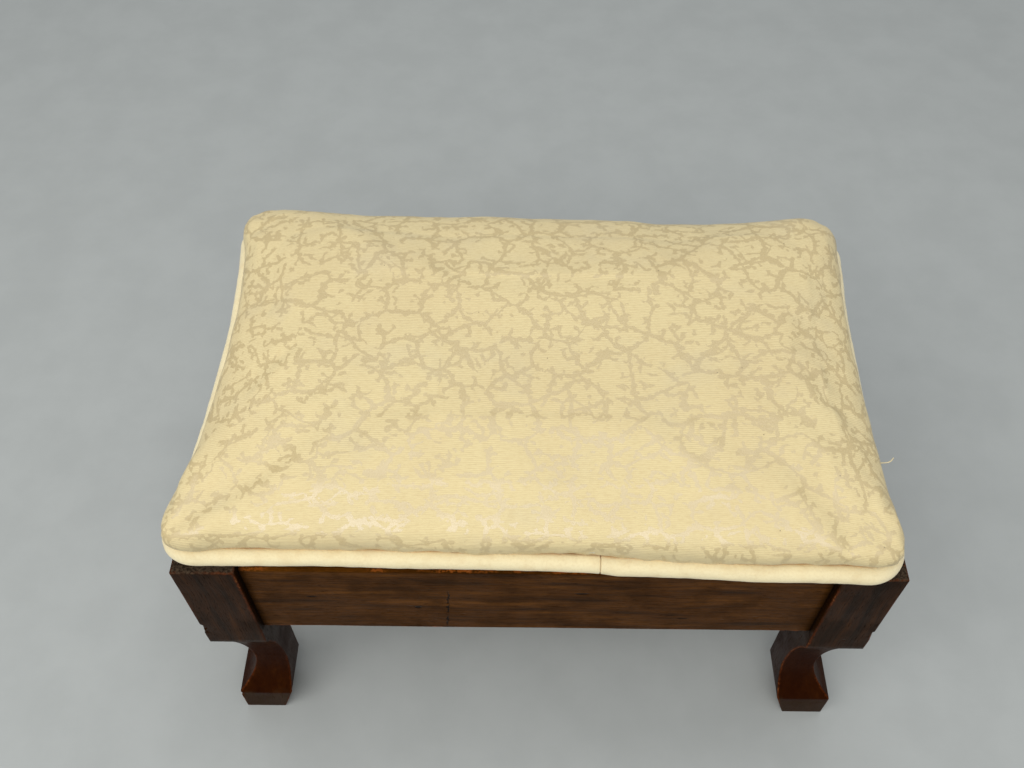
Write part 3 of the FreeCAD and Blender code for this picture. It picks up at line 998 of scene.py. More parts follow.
@dataclass
class BracketLeg:
    """A square leg, sawn to the same scroll on both outer faces."""

    side: float = LEG_SIDE
    height: float = LEG_TOP
    knee: float = 120.0
    waist: float = 59.0
    waist_depth: float = 15.0
    toe: float = 27.0
    heel_bevel: float = 9.0
    ease: float = EDGE_EASE
    rail_setback: float = 5.5
    across: tuple = (1.8, 5.5, 11.0, 17.0, 23.0, 29.0, 33.5, 36.2)
    foot: tuple = (2.0, 6.0, 11.0, 16.0, 21.0, 25.0)
    post: tuple = (124.0, 131.0, RAIL_LOW, *range(141, 206, 8), 211.0, RAIL_TOP, 217.2)
    scroll_steps: int = 31
    unevenness: float = 0.35
    grime_and_shade_reach: float = 5.5

    def hollow(self, height: float) -> float:
        """Returns how far the outer faces are cut back at a height."""
        if not self.toe < height < self.knee:
            return 0.0
        other = self.knee if height > self.waist else self.toe
        rise = other - self.waist
        radius = (rise * rise + self.waist_depth**2) / (2 * self.waist_depth)
        return self.waist_depth - radius + math.sqrt(radius**2 - (height - self.waist) ** 2)

    def heel(self, height: float) -> float:
        """Returns how far the inner faces are cut back at a height."""
        return self.heel_bevel * max(0.0, 1 - height / self.toe)

    def levels(self) -> list:
        """Returns the heights of the lines marked round the blank."""
        steps = self.scroll_steps
        scroll = [self.toe + i * (self.knee - self.toe) / steps for i in range(steps + 1)]
        return [*self.foot, *scroll, *self.post]

    def build(self, name: str) -> Piece:
        """Returns one leg on the workbench, with its outer corner at the origin.

        Args:
            name: The name of the piece.
        """
        lines = (self.across, self.across, self.levels())
        leg = sawn_blank(name, Vector((0, 0, 0)), Vector((self.side, self.side, self.height)), lines)
        inner = (self.side * MM, self.side * MM)
        with editing(leg):
            for level in [0.0, *self.levels()]:
                hollow = self.hollow(level)
                heel = self.heel(level)
                if hollow <= 0.0 and heel <= 0.0:
                    continue
                pick_points(leg, lambda point, level=level: abs(point.z - level) < LINE_WIDTH)
                scale = (self.side - max(hollow, heel)) / self.side
                fixed = inner if hollow > 0.0 else (0.0, 0.0)
                bpy.ops.transform.resize(value=(scale, scale, 1.0), center_override=(*fixed, level * MM))
        ease_edges(leg, self.ease, sharp)
        hand_finish(leg, self.unevenness, 34.0)
        self.note_wear_and_shading(leg)
        smooth(leg)
        return leg

    def note_wear_and_shading(self, leg: Piece) -> None:
        """Notes how far each point is from an edge, and where soiling and painted shade darken the corner
        against the rails.

        Args:
            leg: The leg, on the workbench.
        """
        edge = []
        grime_and_shade = []
        for a, b, z in points_of(leg) / MM:
            outer = self.hollow(z)
            inner = self.side - self.heel(z)
            away = (a - outer, inner - a, b - outer, inner - b, z, self.height - z)
            edge.append(sorted(map(abs, away))[1])
            # Soiling and painted shade in the corner against each rail.
            grime_and_shade_here = 0.0
            beside_rail = RAIL_LOW - 3 < z < self.height
            for along, gap in ((a, inner - b), (b, inner - a)):
                if beside_rail and gap < 1.0:
                    grime_and_shade_here = max(grime_and_shade_here, 1 - abs(along - self.rail_setback - 1.0) / self.grime_and_shade_reach)
            grime_and_shade.append(grime_and_shade_here * 0.85)
        note_number(leg, "edge", np.array(edge))
        note_number(leg, "grime_and_shade", np.array(grime_and_shade))


@dataclass
class Rail:
    """A rail between two legs, made lying along X with its outer face at Y 0."""

    thickness: float = 20.0
    low: float = RAIL_LOW
    top: float = RAIL_TOP
    front_round: float = 3.0
    ease: float = EDGE_EASE
    line_spacing: float = 12.0
    unevenness: float = 0.5
    grime_and_shade_reach: float = 5.0

    def lines(self, length: float) -> tuple:
        """Returns the lines marked across a rail: along it, through it and up it."""
        half = length / 2
        count = max(8, round(length / self.line_spacing))
        along = [-half + 1.5, -half + 5.0, half - 5.0, half - 1.5]
        along += [-half + 9 + i * (length - 18) / count for i in range(count + 1)]
        up = [self.low + step for step in (1.8, 5.0, *range(8, 65, 7))] + [self.top - 6.0, self.top - 3.4]
        return along, (3.4, 6.5, 10.0, 14.0, self.thickness - 1.8), up

    def build(self, name: str, length: float) -> Piece:
        """Returns one rail on the workbench.

        Args:
            name: The name of the piece.
            length: Its length between the legs.
        """
        half = length / 2
        low = Vector((-half, 0, self.low))
        high = Vector((half, self.thickness, self.top))
        rail = sawn_blank(name, low, high, self.lines(length))

        def front_top(edge: bmesh.types.BMEdge) -> bool:
            """Says whether an edge lies along the rail's front top corner."""
            middle = (edge.verts[0].co + edge.verts[1].co) / 2 / MM
            return sharp(edge) and middle.y < 0.1 and middle.z > self.top - 0.1

        ease_edges(rail, self.front_round, front_top, 5)
        ease_edges(rail, self.ease, sharp)
        hand_finish(rail, self.unevenness, 60.0)
        edge = []
        grime_and_shade = []
        for x, y, z in points_of(rail) / MM:
            corner = sorted((abs(y), abs(self.thickness - y), abs(z - self.low), abs(self.top - z)))[1]
            # A wider band of wear and painted highlight along the front top edge.
            edge.append(max(0.0, corner - 0.6) if y < 4 and z > self.top - 4 else corner)
            # Darker towards the rail's ends: soiling, and painted shade where the rail meets the legs.
            grime_and_shade.append(max(0.0, 1 - (half - abs(x)) / self.grime_and_shade_reach) * 0.8)
        note_number(rail, "edge", np.array(edge))
        note_number(rail, "grime_and_shade", np.array(grime_and_shade))
        smooth(rail)
        return rail


@dataclass
class Stand:
    """The stand: four bracket legs, four rails and the blocks behind the corners."""

    width: float = STAND_WIDTH
    depth: float = STAND_DEPTH
    slip: float = 2.5
    leg: BracketLeg = field(default_factory=BracketLeg)
    rail: Rail = field(default_factory=Rail)
    chips: tuple = (
        Chip("front_left", (-213.5, -139.5, 141.5), 3.6, 1.5),
        Chip("front_left", (-213.5, -139.5, 136.5), 2.4, 0.7),
        Chip("front_right", (218.5, -139.5, 143.0), 2.6, 0.9),
        Chip("front_right", (218.5, -139.5, 88.0), 2.2, 0.6),
        Chip("front_left", (-213.5, -139.5, 24.0), 3.0, 0.8),
        Chip("back_right", (218.5, 139.5, 60.0), 2.6, 0.7),
    )

    def corners(self) -> list:
        """Returns the four corners of the stand."""
        left = self.slip - self.width / 2
        right = self.slip + self.width / 2
        half = self.depth / 2
        return [
            Corner("front_left", 0, left, -half),
            Corner("front_right", 90, right, -half),
            Corner("back_right", 180, right, half),
            Corner("back_left", 270, left, half),
        ]

    def break_chips(self, leg: Piece, corner: Corner) -> None:
        """Breaks a leg's splinters out of its edges.

        Args:
            leg: The leg, in its place.
            corner: The corner that it stands at.
        """
        inwards = Vector((-corner.x, -corner.y, 0)).normalized()
        for chip in self.chips:
            if chip.corner != corner.name:
                continue
            at = Vector(chip.at)
            push = Vector((inwards.x, inwards.y, 0.15)) * chip.depth * MM
            with editing(leg):
                pick_points(leg, lambda point: (point - at).length < chip.reach + 4.0)
                bpy.ops.mesh.subdivide(number_cuts=3)
                if pick_points(leg, lambda point: (point - at).length < chip.reach):
                    bpy.ops.transform.translate(value=push)

    def build_legs(self) -> None:
        """Builds one leg, and sets a copy of it at each corner."""
        pattern = self.leg.build("leg_pattern")
        polish = StainedHardwood(
            "dark_stained_legs", Along.HEIGHT,
            deep=paint(23, 9, 0), middle=paint(44, 21, 2), bright=paint(64, 34, 5), worn_and_highlight=paint(84, 38, 12),
            shine=0.33, end_grain_above=218.2, dull_below=26.0, redder_below=125.0,
        ).make()
        for corner in self.corners():
            leg = pattern.copy()
            leg.data = pattern.data.copy()
            leg.name = leg.data.name = "bracket_leg_" + corner.name
            leg.data.transform(corner.placing())
            bpy.context.scene.collection.objects.link(leg)
            self.break_chips(leg, corner)
            smooth(leg)
            dress(leg, polish, "stand")
            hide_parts("leg_" + corner.name)
        bpy.data.objects.remove(pattern)

    def polish_rail(
        self, name: str, along: Along, splits: tuple = (), spots: tuple = ()
    ) -> bpy.types.Material:
        """Returns the finish of one rail.

        Args:
            name: The material's name.
            along: The way that the rail runs.
            splits: Its drying splits.
            spots: Its knots and bruises.
        """
        return StainedHardwood(
            name, along,
            deep=paint(44, 22, 0), middle=paint(74, 41, 4), bright=paint(98, 58, 13), worn_and_highlight=paint(140, 74, 26),
            shine=0.36, splits=splits, spots=spots,
        ).make()

    def build_rails(self) -> None:
        """Builds the long and the short rail, and sets each twice."""
        back = self.depth / 2 - self.leg.rail_setback
        side = self.width / 2 - self.leg.rail_setback
        marked = self.polish_rail(
            "stained_front_rail", Along.WIDTH,
            splits=(Split(-53.2, 134.5, 190.0, 0.75),),
            spots=(Spot(-72.0, 164.8, 4.5, 3.4), Spot(-53.1, 165.3, 2.6, 2.6), Spot(30.0, 186.0, 9.0, 2.0),
                   Spot(-137.0, 178.0, 7.0, 1.6), Spot(96.0, 152.0, 8.0, 1.4)),
        )
        long_polish = self.polish_rail("stained_long_rail", Along.WIDTH)
        short_polish = self.polish_rail("stained_short_rail", Along.DEPTH)
        lays = {
            "rail_front": (self.width, marked, 0, self.slip, -back),
            "rail_back": (self.width, long_polish, 180, self.slip, back),
            "rail_left": (self.depth, short_polish, -90, self.slip - side, 0),
            "rail_right": (self.depth, short_polish, 90, self.slip + side, 0),
        }
        for node, (span, polish, turn, x, y) in lays.items():
            rail = self.rail.build("seat_" + node, span - 2 * self.leg.side)
            rail.data.transform(Corner(node, turn, x, y).placing())
            dress(rail, polish, "stand")
            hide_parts(node)

    def dress_blocks(self) -> None:
        """Gives the corner blocks and their screws their finish."""
        pine = PlainPine("pine_corner_block", Along.HEIGHT).make()
        for corner in self.corners():
            refinish("corner_block_" + corner.name, pine)
        refinish("corner_block_screws", Steel("dull_screw_steel").make())

    def build(self) -> None:
        """Builds and dresses the whole stand."""
        self.build_legs()
        self.build_rails()
        self.dress_blocks()


def refinish(node: str, finish: bpy.types.Material) -> None:
    """Gives a piece of the frame a better finish.

    Args:
        node: The name of the frame's piece.
        finish: Its material.
    """
    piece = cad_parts[node]
    piece.data.materials.clear()
    piece.data.materials.append(finish)
    LOG.info("%s: dressed with %s", node, finish.name)


# ---------------------------------------------------------------------------------------------------------
# The pad
# ---------------------------------------------------------------------------------------------------------


@dataclass(frozen=True)
class PadPlan:
    """The pad's plan: round corners, and sides that pull in between them. Insets run inwards from it."""

    width: float = 439.0
    depth: float = 282.0
    corner: float = 24.0
    long_pull: float = 1.6
    short_pull: float = 4.6
    crown_inset: float = 120.0
    turn: float = -1.2
    leg_top: float = LEG_TOP
    left_bow: float = 4.4
    front_sag: float = 2.6

    def corner_radius(self, inset: float) -> float:
        """Returns the corner radius at an inset."""
        return max(self.corner - inset, self.corner / 3)

    def line(
        self, inset: float, radius: Optional[float] = None, corner_steps: int = 12, long_steps: int = 60,
        short_steps: int = 40,
    ) -> np.ndarray:
        """Returns points all the way round the plan at an inset.

        Args:
            inset: How far inside the outline they lie.
            radius: The corner radius, where it isn't the usual one.
            corner_steps: The number of points round a corner.
            long_steps: The number of points along a long side.
            short_steps: The number of points along a short side.

        Returns:
            One row of x and y for each point, before the pad's turn.
        """
        radius = self.corner_radius(inset) if radius is None else radius
        fade = max(0.0, 1 - inset / self.crown_inset)
        pulls = (math.radians(self.long_pull * fade), math.radians(self.short_pull * fade))
        x = self.width / 2 - inset - radius
        y = self.depth / 2 - inset - radius
        corners = []
        for quarter, (sx, sy) in enumerate([(1, 1), (-1, 1), (-1, -1), (1, -1)]):
            before, after = (pulls[1], pulls[0]) if quarter % 2 == 0 else (pulls[0], pulls[1])
            start = quarter * math.pi / 2 - before
            end = (quarter + 1) * math.pi / 2 + after
            angles = [start + (end - start) * i / corner_steps for i in range(corner_steps + 1)]
            corners.append([(sx * x + radius * math.cos(t), sy * y + radius * math.sin(t)) for t in angles])
        points = []
        for quarter, corner in enumerate(corners):
            points += corner
            here = np.array(corner[-1])
            there = np.array(corners[(quarter + 1) % 4][0])
            pull = pulls[0] if quarter % 2 == 0 else pulls[1]
            steps = long_steps if quarter % 2 == 0 else short_steps
            inwards = -(here + there) / np.linalg.norm(here + there)
            half = np.linalg.norm(there - here) / 2
            for i in range(1, steps):
                part = i / steps
                if pull < 1e-4:
                    points.append(tuple(here + (there - here) * part))
                    continue
                swing = pull * (2 * part - 1)
                reach = half / math.sin(pull)
                bow = reach * (math.cos(swing) - math.cos(pull))
                along = 0.5 + math.sin(swing) / math.sin(pull) / 2
                points.append(tuple(here + (there - here) * along + inwards * bow))
        return np.array(points)

    def from_edges(self, places: np.ndarray) -> tuple:
        """Returns how far inside the nearest end and the nearest long side each place lies."""
        return self.width / 2 - np.abs(places[:, 0]), self.depth / 2 - np.abs(places[:, 1])

    def bowed(self, x: np.ndarray, y: np.ndarray) -> np.ndarray:
        """Returns how much further the left end is drawn in at each place."""
        return self.left_bow * ease_in(-x, 120.0, 205.0) * np.maximum(0.0, 1 - np.abs(y / 136.0) ** 3)

    def sagged(self, x: np.ndarray, y: np.ndarray, height: np.ndarray) -> np.ndarray:
        """Returns how far the front edge hangs below its line, right of the welt's joint."""
        along = ease_in(x, 37.0, 52.0) * (1 - ease_in(x, 128.0, 165.0))
        return self.front_sag * along * ease_in(-y, 123.0, 132.5) * (1 - ease_in(height, 14.0, 34.0))

    def laid(self, places: np.ndarray) -> np.ndarray:
        """Returns places as they lie on the stand, turned with the pad and in metres.

        Args:
            places: Rows of x, y and the height above the legs' tops, in millimetres.
        """
        angle = math.radians(self.turn)
        across = places[:, 0] + self.bowed(places[:, 0], places[:, 1])
        x = across * math.cos(angle) - places[:, 1] * math.sin(angle)
        y = across * math.sin(angle) + places[:, 1] * math.cos(angle)
        height = places[:, 2] - self.sagged(places[:, 0], places[:, 1], places[:, 2])
        return np.column_stack((x, y, height + self.leg_top)) * MM

    def unlaid(self, places: np.ndarray) -> np.ndarray:
        """Returns the opposite of laid: millimetres before the turn, above the legs' tops."""
        angle = math.radians(-self.turn)
        near = places / MM
        x = near[:, 0] * math.cos(angle) - near[:, 1] * math.sin(angle)
        y = near[:, 0] * math.sin(angle) + near[:, 1] * math.cos(angle)
        flat = x.copy()
        for _ in range(3):
            flat = x - self.bowed(flat, y)
        height = near[:, 2] - self.leg_top
        return np.column_stack((flat, y, height + self.sagged(flat, y, height)))


def at_height(flat: np.ndarray, height: float) -> np.ndarray:
    """Returns points of a plan raised to one height."""
    return np.column_stack((flat, np.full(len(flat), height)))


def ringed(name: str, rings: Sequence[np.ndarray], closed: bool, capped: bool) -> Piece:
    """Makes a mesh of rings of points that follow each other.

    Args:
        name: The name of the piece.
        rings: The rings, each with as many points, in metres.
        closed: Joins the last ring back to the first.
        capped: Closes the first and the last ring with a face.

    Returns:
        The piece.
    """
    count = len(rings[0])
    faces = []
    for row in range(len(rings) if closed else len(rings) - 1):
        here = row * count
        there = ((row + 1) % len(rings)) * count
        for i in range(count):
            j = (i + 1) % count
            faces.append((here + i, here + j, there + j, there + i))
    if capped:
        faces.append(tuple(reversed(range(count))))
        faces.append(tuple((len(rings) - 1) * count + i for i in range(count)))
    mesh = bpy.data.meshes.new(name)
    mesh.from_pydata(np.vstack(rings).tolist(), [], faces)
    mesh.validate()
    piece = bpy.data.objects.new(name, mesh)
    bpy.context.scene.collection.objects.link(piece)
    with editing(piece):
        bpy.ops.mesh.select_all(action="SELECT")
        bpy.ops.mesh.normals_make_consistent(inside=False)
    return piece


@dataclass
class PadForm:
    """The form of the padding: it swells out over the welt to a belly, and rounds over to a low crown."""

    plan: PadPlan
    edge_inset: float = 12.6
    seam: float = 8.0
    belly: float = 20.0
    belly_inset: float = 4.0
    crown: float = 46.0
    crown_radius: float = 18.9
    fullness: float = 2.5
    swell: float = 36.0
    front_push: float = 2.4
    corner_push: float = 2.2
    left_pull: float = 2.2
    right_pull: float = 0.4
    back_dip: float = 2.2
    back_dip_x: float = 112.0
    back_ear: float = 3.8
    back_ear_x: float = 190.0
    on_welt: tuple = ((8.0, 12.6), (9.9, 11.5), (11.4, 9.6), (12.6, 7.4), (14.2, 5.6), (16.8, 4.4))

    def sections(self) -> list:
        """Returns the form from the seam to the crown, as height, inset and corner radius.

        The cover lies on the welt from the seam outwards, and then turns up to the belly.
        """
        rows = [(height, inset, self.plan.corner_radius(inset)) for height, inset in self.on_welt]
        start = self.plan.corner_radius(self.belly_inset)
        for step in range(19):
            angle = step / 18 * math.pi / 2
            part = 1 - max(0.0, math.cos(angle)) ** (2 / self.fullness)
            rise = math.sin(angle) ** (2 / self.fullness)
            inset = self.belly_inset + part * (self.plan.crown_inset - self.belly_inset)
            radius = start + part * (self.crown_radius - start) + self.swell * part * (1 - part)
            rows.append((self.belly + rise * (self.crown - self.belly), inset, radius))
        return rows

    def slump(self, near: np.ndarray) -> np.ndarray:
        """Returns how far the top, settled with use, lies above its form: a dip along the back, and a fuller
        back corner.

        Args:
            near: Rows of x, y and the height above the legs' tops, in millimetres.

        Returns:
            One height for each row, in millimetres.
        """
        at_back = ease_in(near[:, 1], 55.0, 128.0) * ease_in(near[:, 2], 18.0, 34.0)
        dip = self.back_dip * hump(near[:, 0] - self.back_dip_x, 36.0)
        ear = self.back_ear * hump(near[:, 0] - self.back_ear_x, 18.0)
        return (ear - dip) * at_back

    def lean(self, flat: np.ndarray, height: float) -> np.ndarray:
        """Returns a ring moved as the stuffing presses it: out at the front and its corners, in at the ends.

        Args:
            flat: The ring's points on the plan.
            height: Its height above the legs' tops.
        """
        x, y = flat[:, 0], flat[:, 1]
        share = ease_in(height, 9.0, 16.0) * (1 - ease_in(height, 30.0, 45.5))
        end = ease_in(np.abs(x), 150.0, 205.0) * (1 - ease_in(np.abs(y), 60.0, 126.0))
        pull = np.where(x < 0, self.left_pull, self.right_pull) * end
        front = self.front_push * ease_in(-y, 90.0, 132.0)
        corner = self.corner_push * hump(np.hypot(*self.plan.from_edges(flat)), 20.0) * (y < 0)
        moved_x = x + np.sign(x) * (corner - pull) * share
        moved_y = y + (np.sign(y) * corner - front) * share
        return np.column_stack((moved_x, moved_y))

    def rings(self, smaller: float, below: Sequence[tuple]) -> list:
        """Returns the rings of points of the form, moved in all over.

        Args:
            smaller: How far the form is moved in.
            below: Rings under the seam, from the lowest, as height and inset.

        Returns:
            The rings, in metres.
        """
        rings = []
        for height, inset in below:
            flat = self.plan.line(inset, max(self.plan.corner_radius(inset), 8.0))
            rings.append(self.plan.laid(at_height(flat, height)))
        rows = self.sections()
        for i, (height, inset, radius) in enumerate(rows):
            before = rows[max(i - 1, 0)]
            after = rows[min(i + 1, len(rows) - 1)]
            rise = after[0] - before[0]
            run = after[1] - before[1] if i > 0 else 0.0
            size = math.hypot(rise, run)
            across = smaller * rise / size
            flat = self.lean(self.plan.line(inset + across, max(radius - across, radius / 3)), height)
            rings.append(self.plan.laid(at_height(flat, height - smaller * run / size)))
        return rings


@dataclass
class Cushion:
    """The damask cover over its padding, drawn down over the board and turned under it."""

    form: PadForm
    voxel: float = 4.6
    start_smaller: float = 2.2
    unevenness: float = 0.7
    reach: float = 2.0
    evening: int = 40
    steps: int = 20
    hem_height: float = 1.5
    hem_inner: float = FLANGE_INNER
    board_middle: float = 9.0
    held_below: float = 9.5
    fill: float = 0.85
    broad_humps: float = 0.8
    small_humps: float = 0.35
    tight_puckers: float = 0.55
    wide_puckers: float = 0.7
    corner_folds: float = 0.35
    tension: dict = field(
        default_factory=lambda: {
            "quality": 5, "mass": 0.3, "uniform_pressure_force": 4.0, "shrink_min": -0.03,
            "tension_stiffness": 10.0, "compression_stiffness": 10.0, "shear_stiffness": 4.0,
            "bending_stiffness": 0.3,
        }
    )

    def swell(self, cushion: Piece) -> None:
        """Lets the cover swell under the pressure of its padding, held where it is sewn and stapled.

        Args:
            cushion: The cushion, slightly too small.
        """
        before = points_of(cushion)
        ways = normals_of(cushion)
        near = self.form.plan.unlaid(before)
        held = cushion.vertex_groups.new(name="held")
        grip = 1.0 - ease_in(near[:, 2], self.held_below, self.held_below + 5.0)
        for i, part in enumerate(grip):
            if part > 0.0:
                held.add([i], float(part), "REPLACE")
        cloth = cushion.modifiers.new("swell", "CLOTH")
        for name, value in self.tension.items():
            setattr(cloth.settings, name, value)
        cloth.settings.use_pressure = True
        cloth.settings.effector_weights.gravity = 0.0
        cloth.settings.vertex_group_mass = "held"
        cloth.point_cache.frame_start = 1
        cloth.point_cache.frame_end = self.steps
        for step in range(1, self.steps + 1):
            bpy.context.scene.frame_set(step)
        work_on(cushion)
        bpy.ops.object.modifier_apply(modifier="swell")
        bpy.context.scene.frame_set(1)
        moved = points_of(cushion) - before
        outwards = np.sum(moved * ways, axis=1)
        LOG.info("cushion: swelled by %.1f to %.1f mm", outwards.min() / MM, outwards.max() / MM)
        outwards = evened(cushion, outwards, self.evening)
        middle = np.median(outwards[grip <= 0.0])
        spread = np.tanh((outwards - middle) / (self.unevenness * MM)) * self.unevenness * MM
        kept = self.start_smaller * MM + spread
        aside = moved - ways * outwards[:, None]
        far = np.linalg.norm(aside, axis=1)
        aside *= np.minimum(1.0, self.reach * MM / np.maximum(far, 1e-9))[:, None]
        put_points(cushion, before + (ways * kept[:, None] + aside) * (1.0 - grip)[:, None])

    def settle(self, cushion: Piece) -> None:
        """Gives the cover the unevenness of use: humps, a dip, fuller corners and puckers at the seam.

        Args:
            cushion: The cushion, swelled and smooth.
        """
        plan = self.form.plan
        places = points_of(cushion)
        ways = normals_of(cushion)
        near = plan.unlaid(places)
        free = ease_in(near[:, 2], 5.0, 10.0)
        level = near * np.array((1.0, 1.0, 0.0))
        humps = wander(near, 75.0, 1.0) * self.broad_humps + wander(near, 34.0, 2.0) * self.small_humps
        along_seam = ease_in(near[:, 2], 26.0, 11.0)
        puckers = wander(level, 9.5, 3.0) * self.tight_puckers + wander(level, 22.0, 4.0) * self.wide_puckers
        puckers = (puckers - 0.25) * along_seam
        reach_x, reach_y = plan.from_edges(near)
        corner = hump(np.hypot(reach_x - 16, reach_y - 16), 26.0)
        turn = np.arctan2(reach_y - 4.0, reach_x - 4.0)
        pulls = np.sin(turn * 9.0 + wander(level, 60.0, 5.0) * 1.5) * corner
        pulls = pulls * ease_in(near[:, 2], 8.0, 20.0) * self.corner_folds
        move = (humps + puckers + pulls) * free
        moved = places + ways * (move * MM)[:, None]
        moved[:, 2] += self.form.slump(near) * MM
        put_points(cushion, moved)

    def square_hem(self, cushion: Piece) -> None:
        """Lays the turned hem flat under the board.

        Args:
            cushion: The cushion.
        """
        plan = self.form.plan
        near = plan.unlaid(points_of(cushion))
        under = near[:, 2] < 4.0
        near[under, 2] = self.hem_height
        put_points(cushion, plan.laid(near))

    def note_cloth(self, cushion: Piece) -> None:
        """Notes each point's place on the flat cloth, and how near it is to the seam, where painted warm
        shade lies in the crease.

        Args:
            cushion: The cushion, in its final form.
        """
        plan = self.form.plan
        near = plan.unlaid(points_of(cushion))
        drop = np.maximum(0.0, self.form.crown - near[:, 2])
        out_x, out_y = (np.exp((40 - reach) / 20.0) for reach in plan.from_edges(near))
        share = out_x / (out_x + out_y)
        side_x = ease_in(near[:, 0], -60.0, 60.0) * 2 - 1
        side_y = ease_in(near[:, 1], -60.0, 60.0) * 2 - 1
        u = near[:, 0] + side_x * drop * share
        v = near[:, 1] + side_y * drop * (1 - share)
        note_place(cushion, "cloth", np.column_stack((u, v, np.zeros(len(u)))) * MM)
        # Near the seam the cover is painted with the warm shade of the crease.
        note_number(cushion, "seam", ease_in(near[:, 2] + wander(near, 8.0, 6.0) * 0.5, 12.6, 9.6))

    def build(self) -> Piece:
        """Returns the finished cushion."""
        below = [
            (self.board_middle, self.hem_inner + 50), (self.board_middle, self.hem_inner),
            (self.hem_height, self.hem_inner), (self.hem_height, self.form.edge_inset),
        ]
        smaller = self.start_smaller
        cushion = ringed("damask_cushion", self.form.rings(smaller, below), False, True)
        change(cushion, "REMESH", mode="VOXEL", voxel_size=self.voxel * MM)
        LOG.info("cushion: %d points to swell", len(cushion.data.vertices))
        self.swell(cushion)
        change(cushion, "SUBSURF", levels=1, render_levels=1)
        self.square_hem(cushion)
        self.settle(cushion)
        self.note_cloth(cushion)
        work_on(cushion)
        bpy.ops.object.shade_smooth()
        dress(cushion, Damask().make(), "pad")
        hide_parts("damask_cover")
        return cushion


@dataclass
class Stuffing:
    """The foam block and the wadding over it, sealed inside the cushion."""

    form: PadForm
    board_top: float = 14.5
    wadding_inside: float = 4.6
    foam_inside: float = 10.4

    def layer(self, name: str, smaller: float, node: str, finish: Filling, fill: float) -> Piece:
        """Builds one layer that follows the cushion's form further in.

        Args:
            name: The name of the piece.
            smaller: How far inside the cushion's form it lies.
            node: The node that it stands for.
            finish: Its finish.
            fill: How tightly it is filled; not used.

        Returns:
            The layer.
        """
        floor = self.form.plan.leg_top + self.board_top
        rings = [ring for ring in self.form.rings(smaller, ()) if ring[0][2] > floor * MM]
        foot = rings[0].copy()
        foot[:, 2] = (floor + 0.1) * MM
        layer = ringed(name, [foot, *rings], False, True)
        places = points_of(layer)
        near = self.form.plan.unlaid(places)
        top = ease_in(near[:, 2], self.board_top + 3, self.board_top + 12)
        places = places + normals_of(layer) * (wander(near, 40.0, smaller) * top * 0.4 * MM)[:, None]
        places[:, 2] += np.minimum(self.form.slump(near), 0.0) * top * MM
        put_points(layer, places)
        smooth(layer, 50.0)
        dress(layer, finish.make(), "pad")
        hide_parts(node)
        return layer

    def build(self) -> None:
        """Builds both layers."""
        wadding = Filling("white_wadding", paint(238, 236, 228), paint(206, 200, 186), 1.4, 0.6)
        foam = Filling("pale_foam", paint(232, 214, 160), paint(190, 164, 104), 1.1, 0.35, pores=True)
        self.layer("wadding_layer", self.wadding_inside, "wadding", wadding, 0.5)
        self.layer("foam_pad", self.foam_inside, "foam_block", foam, 1.0)


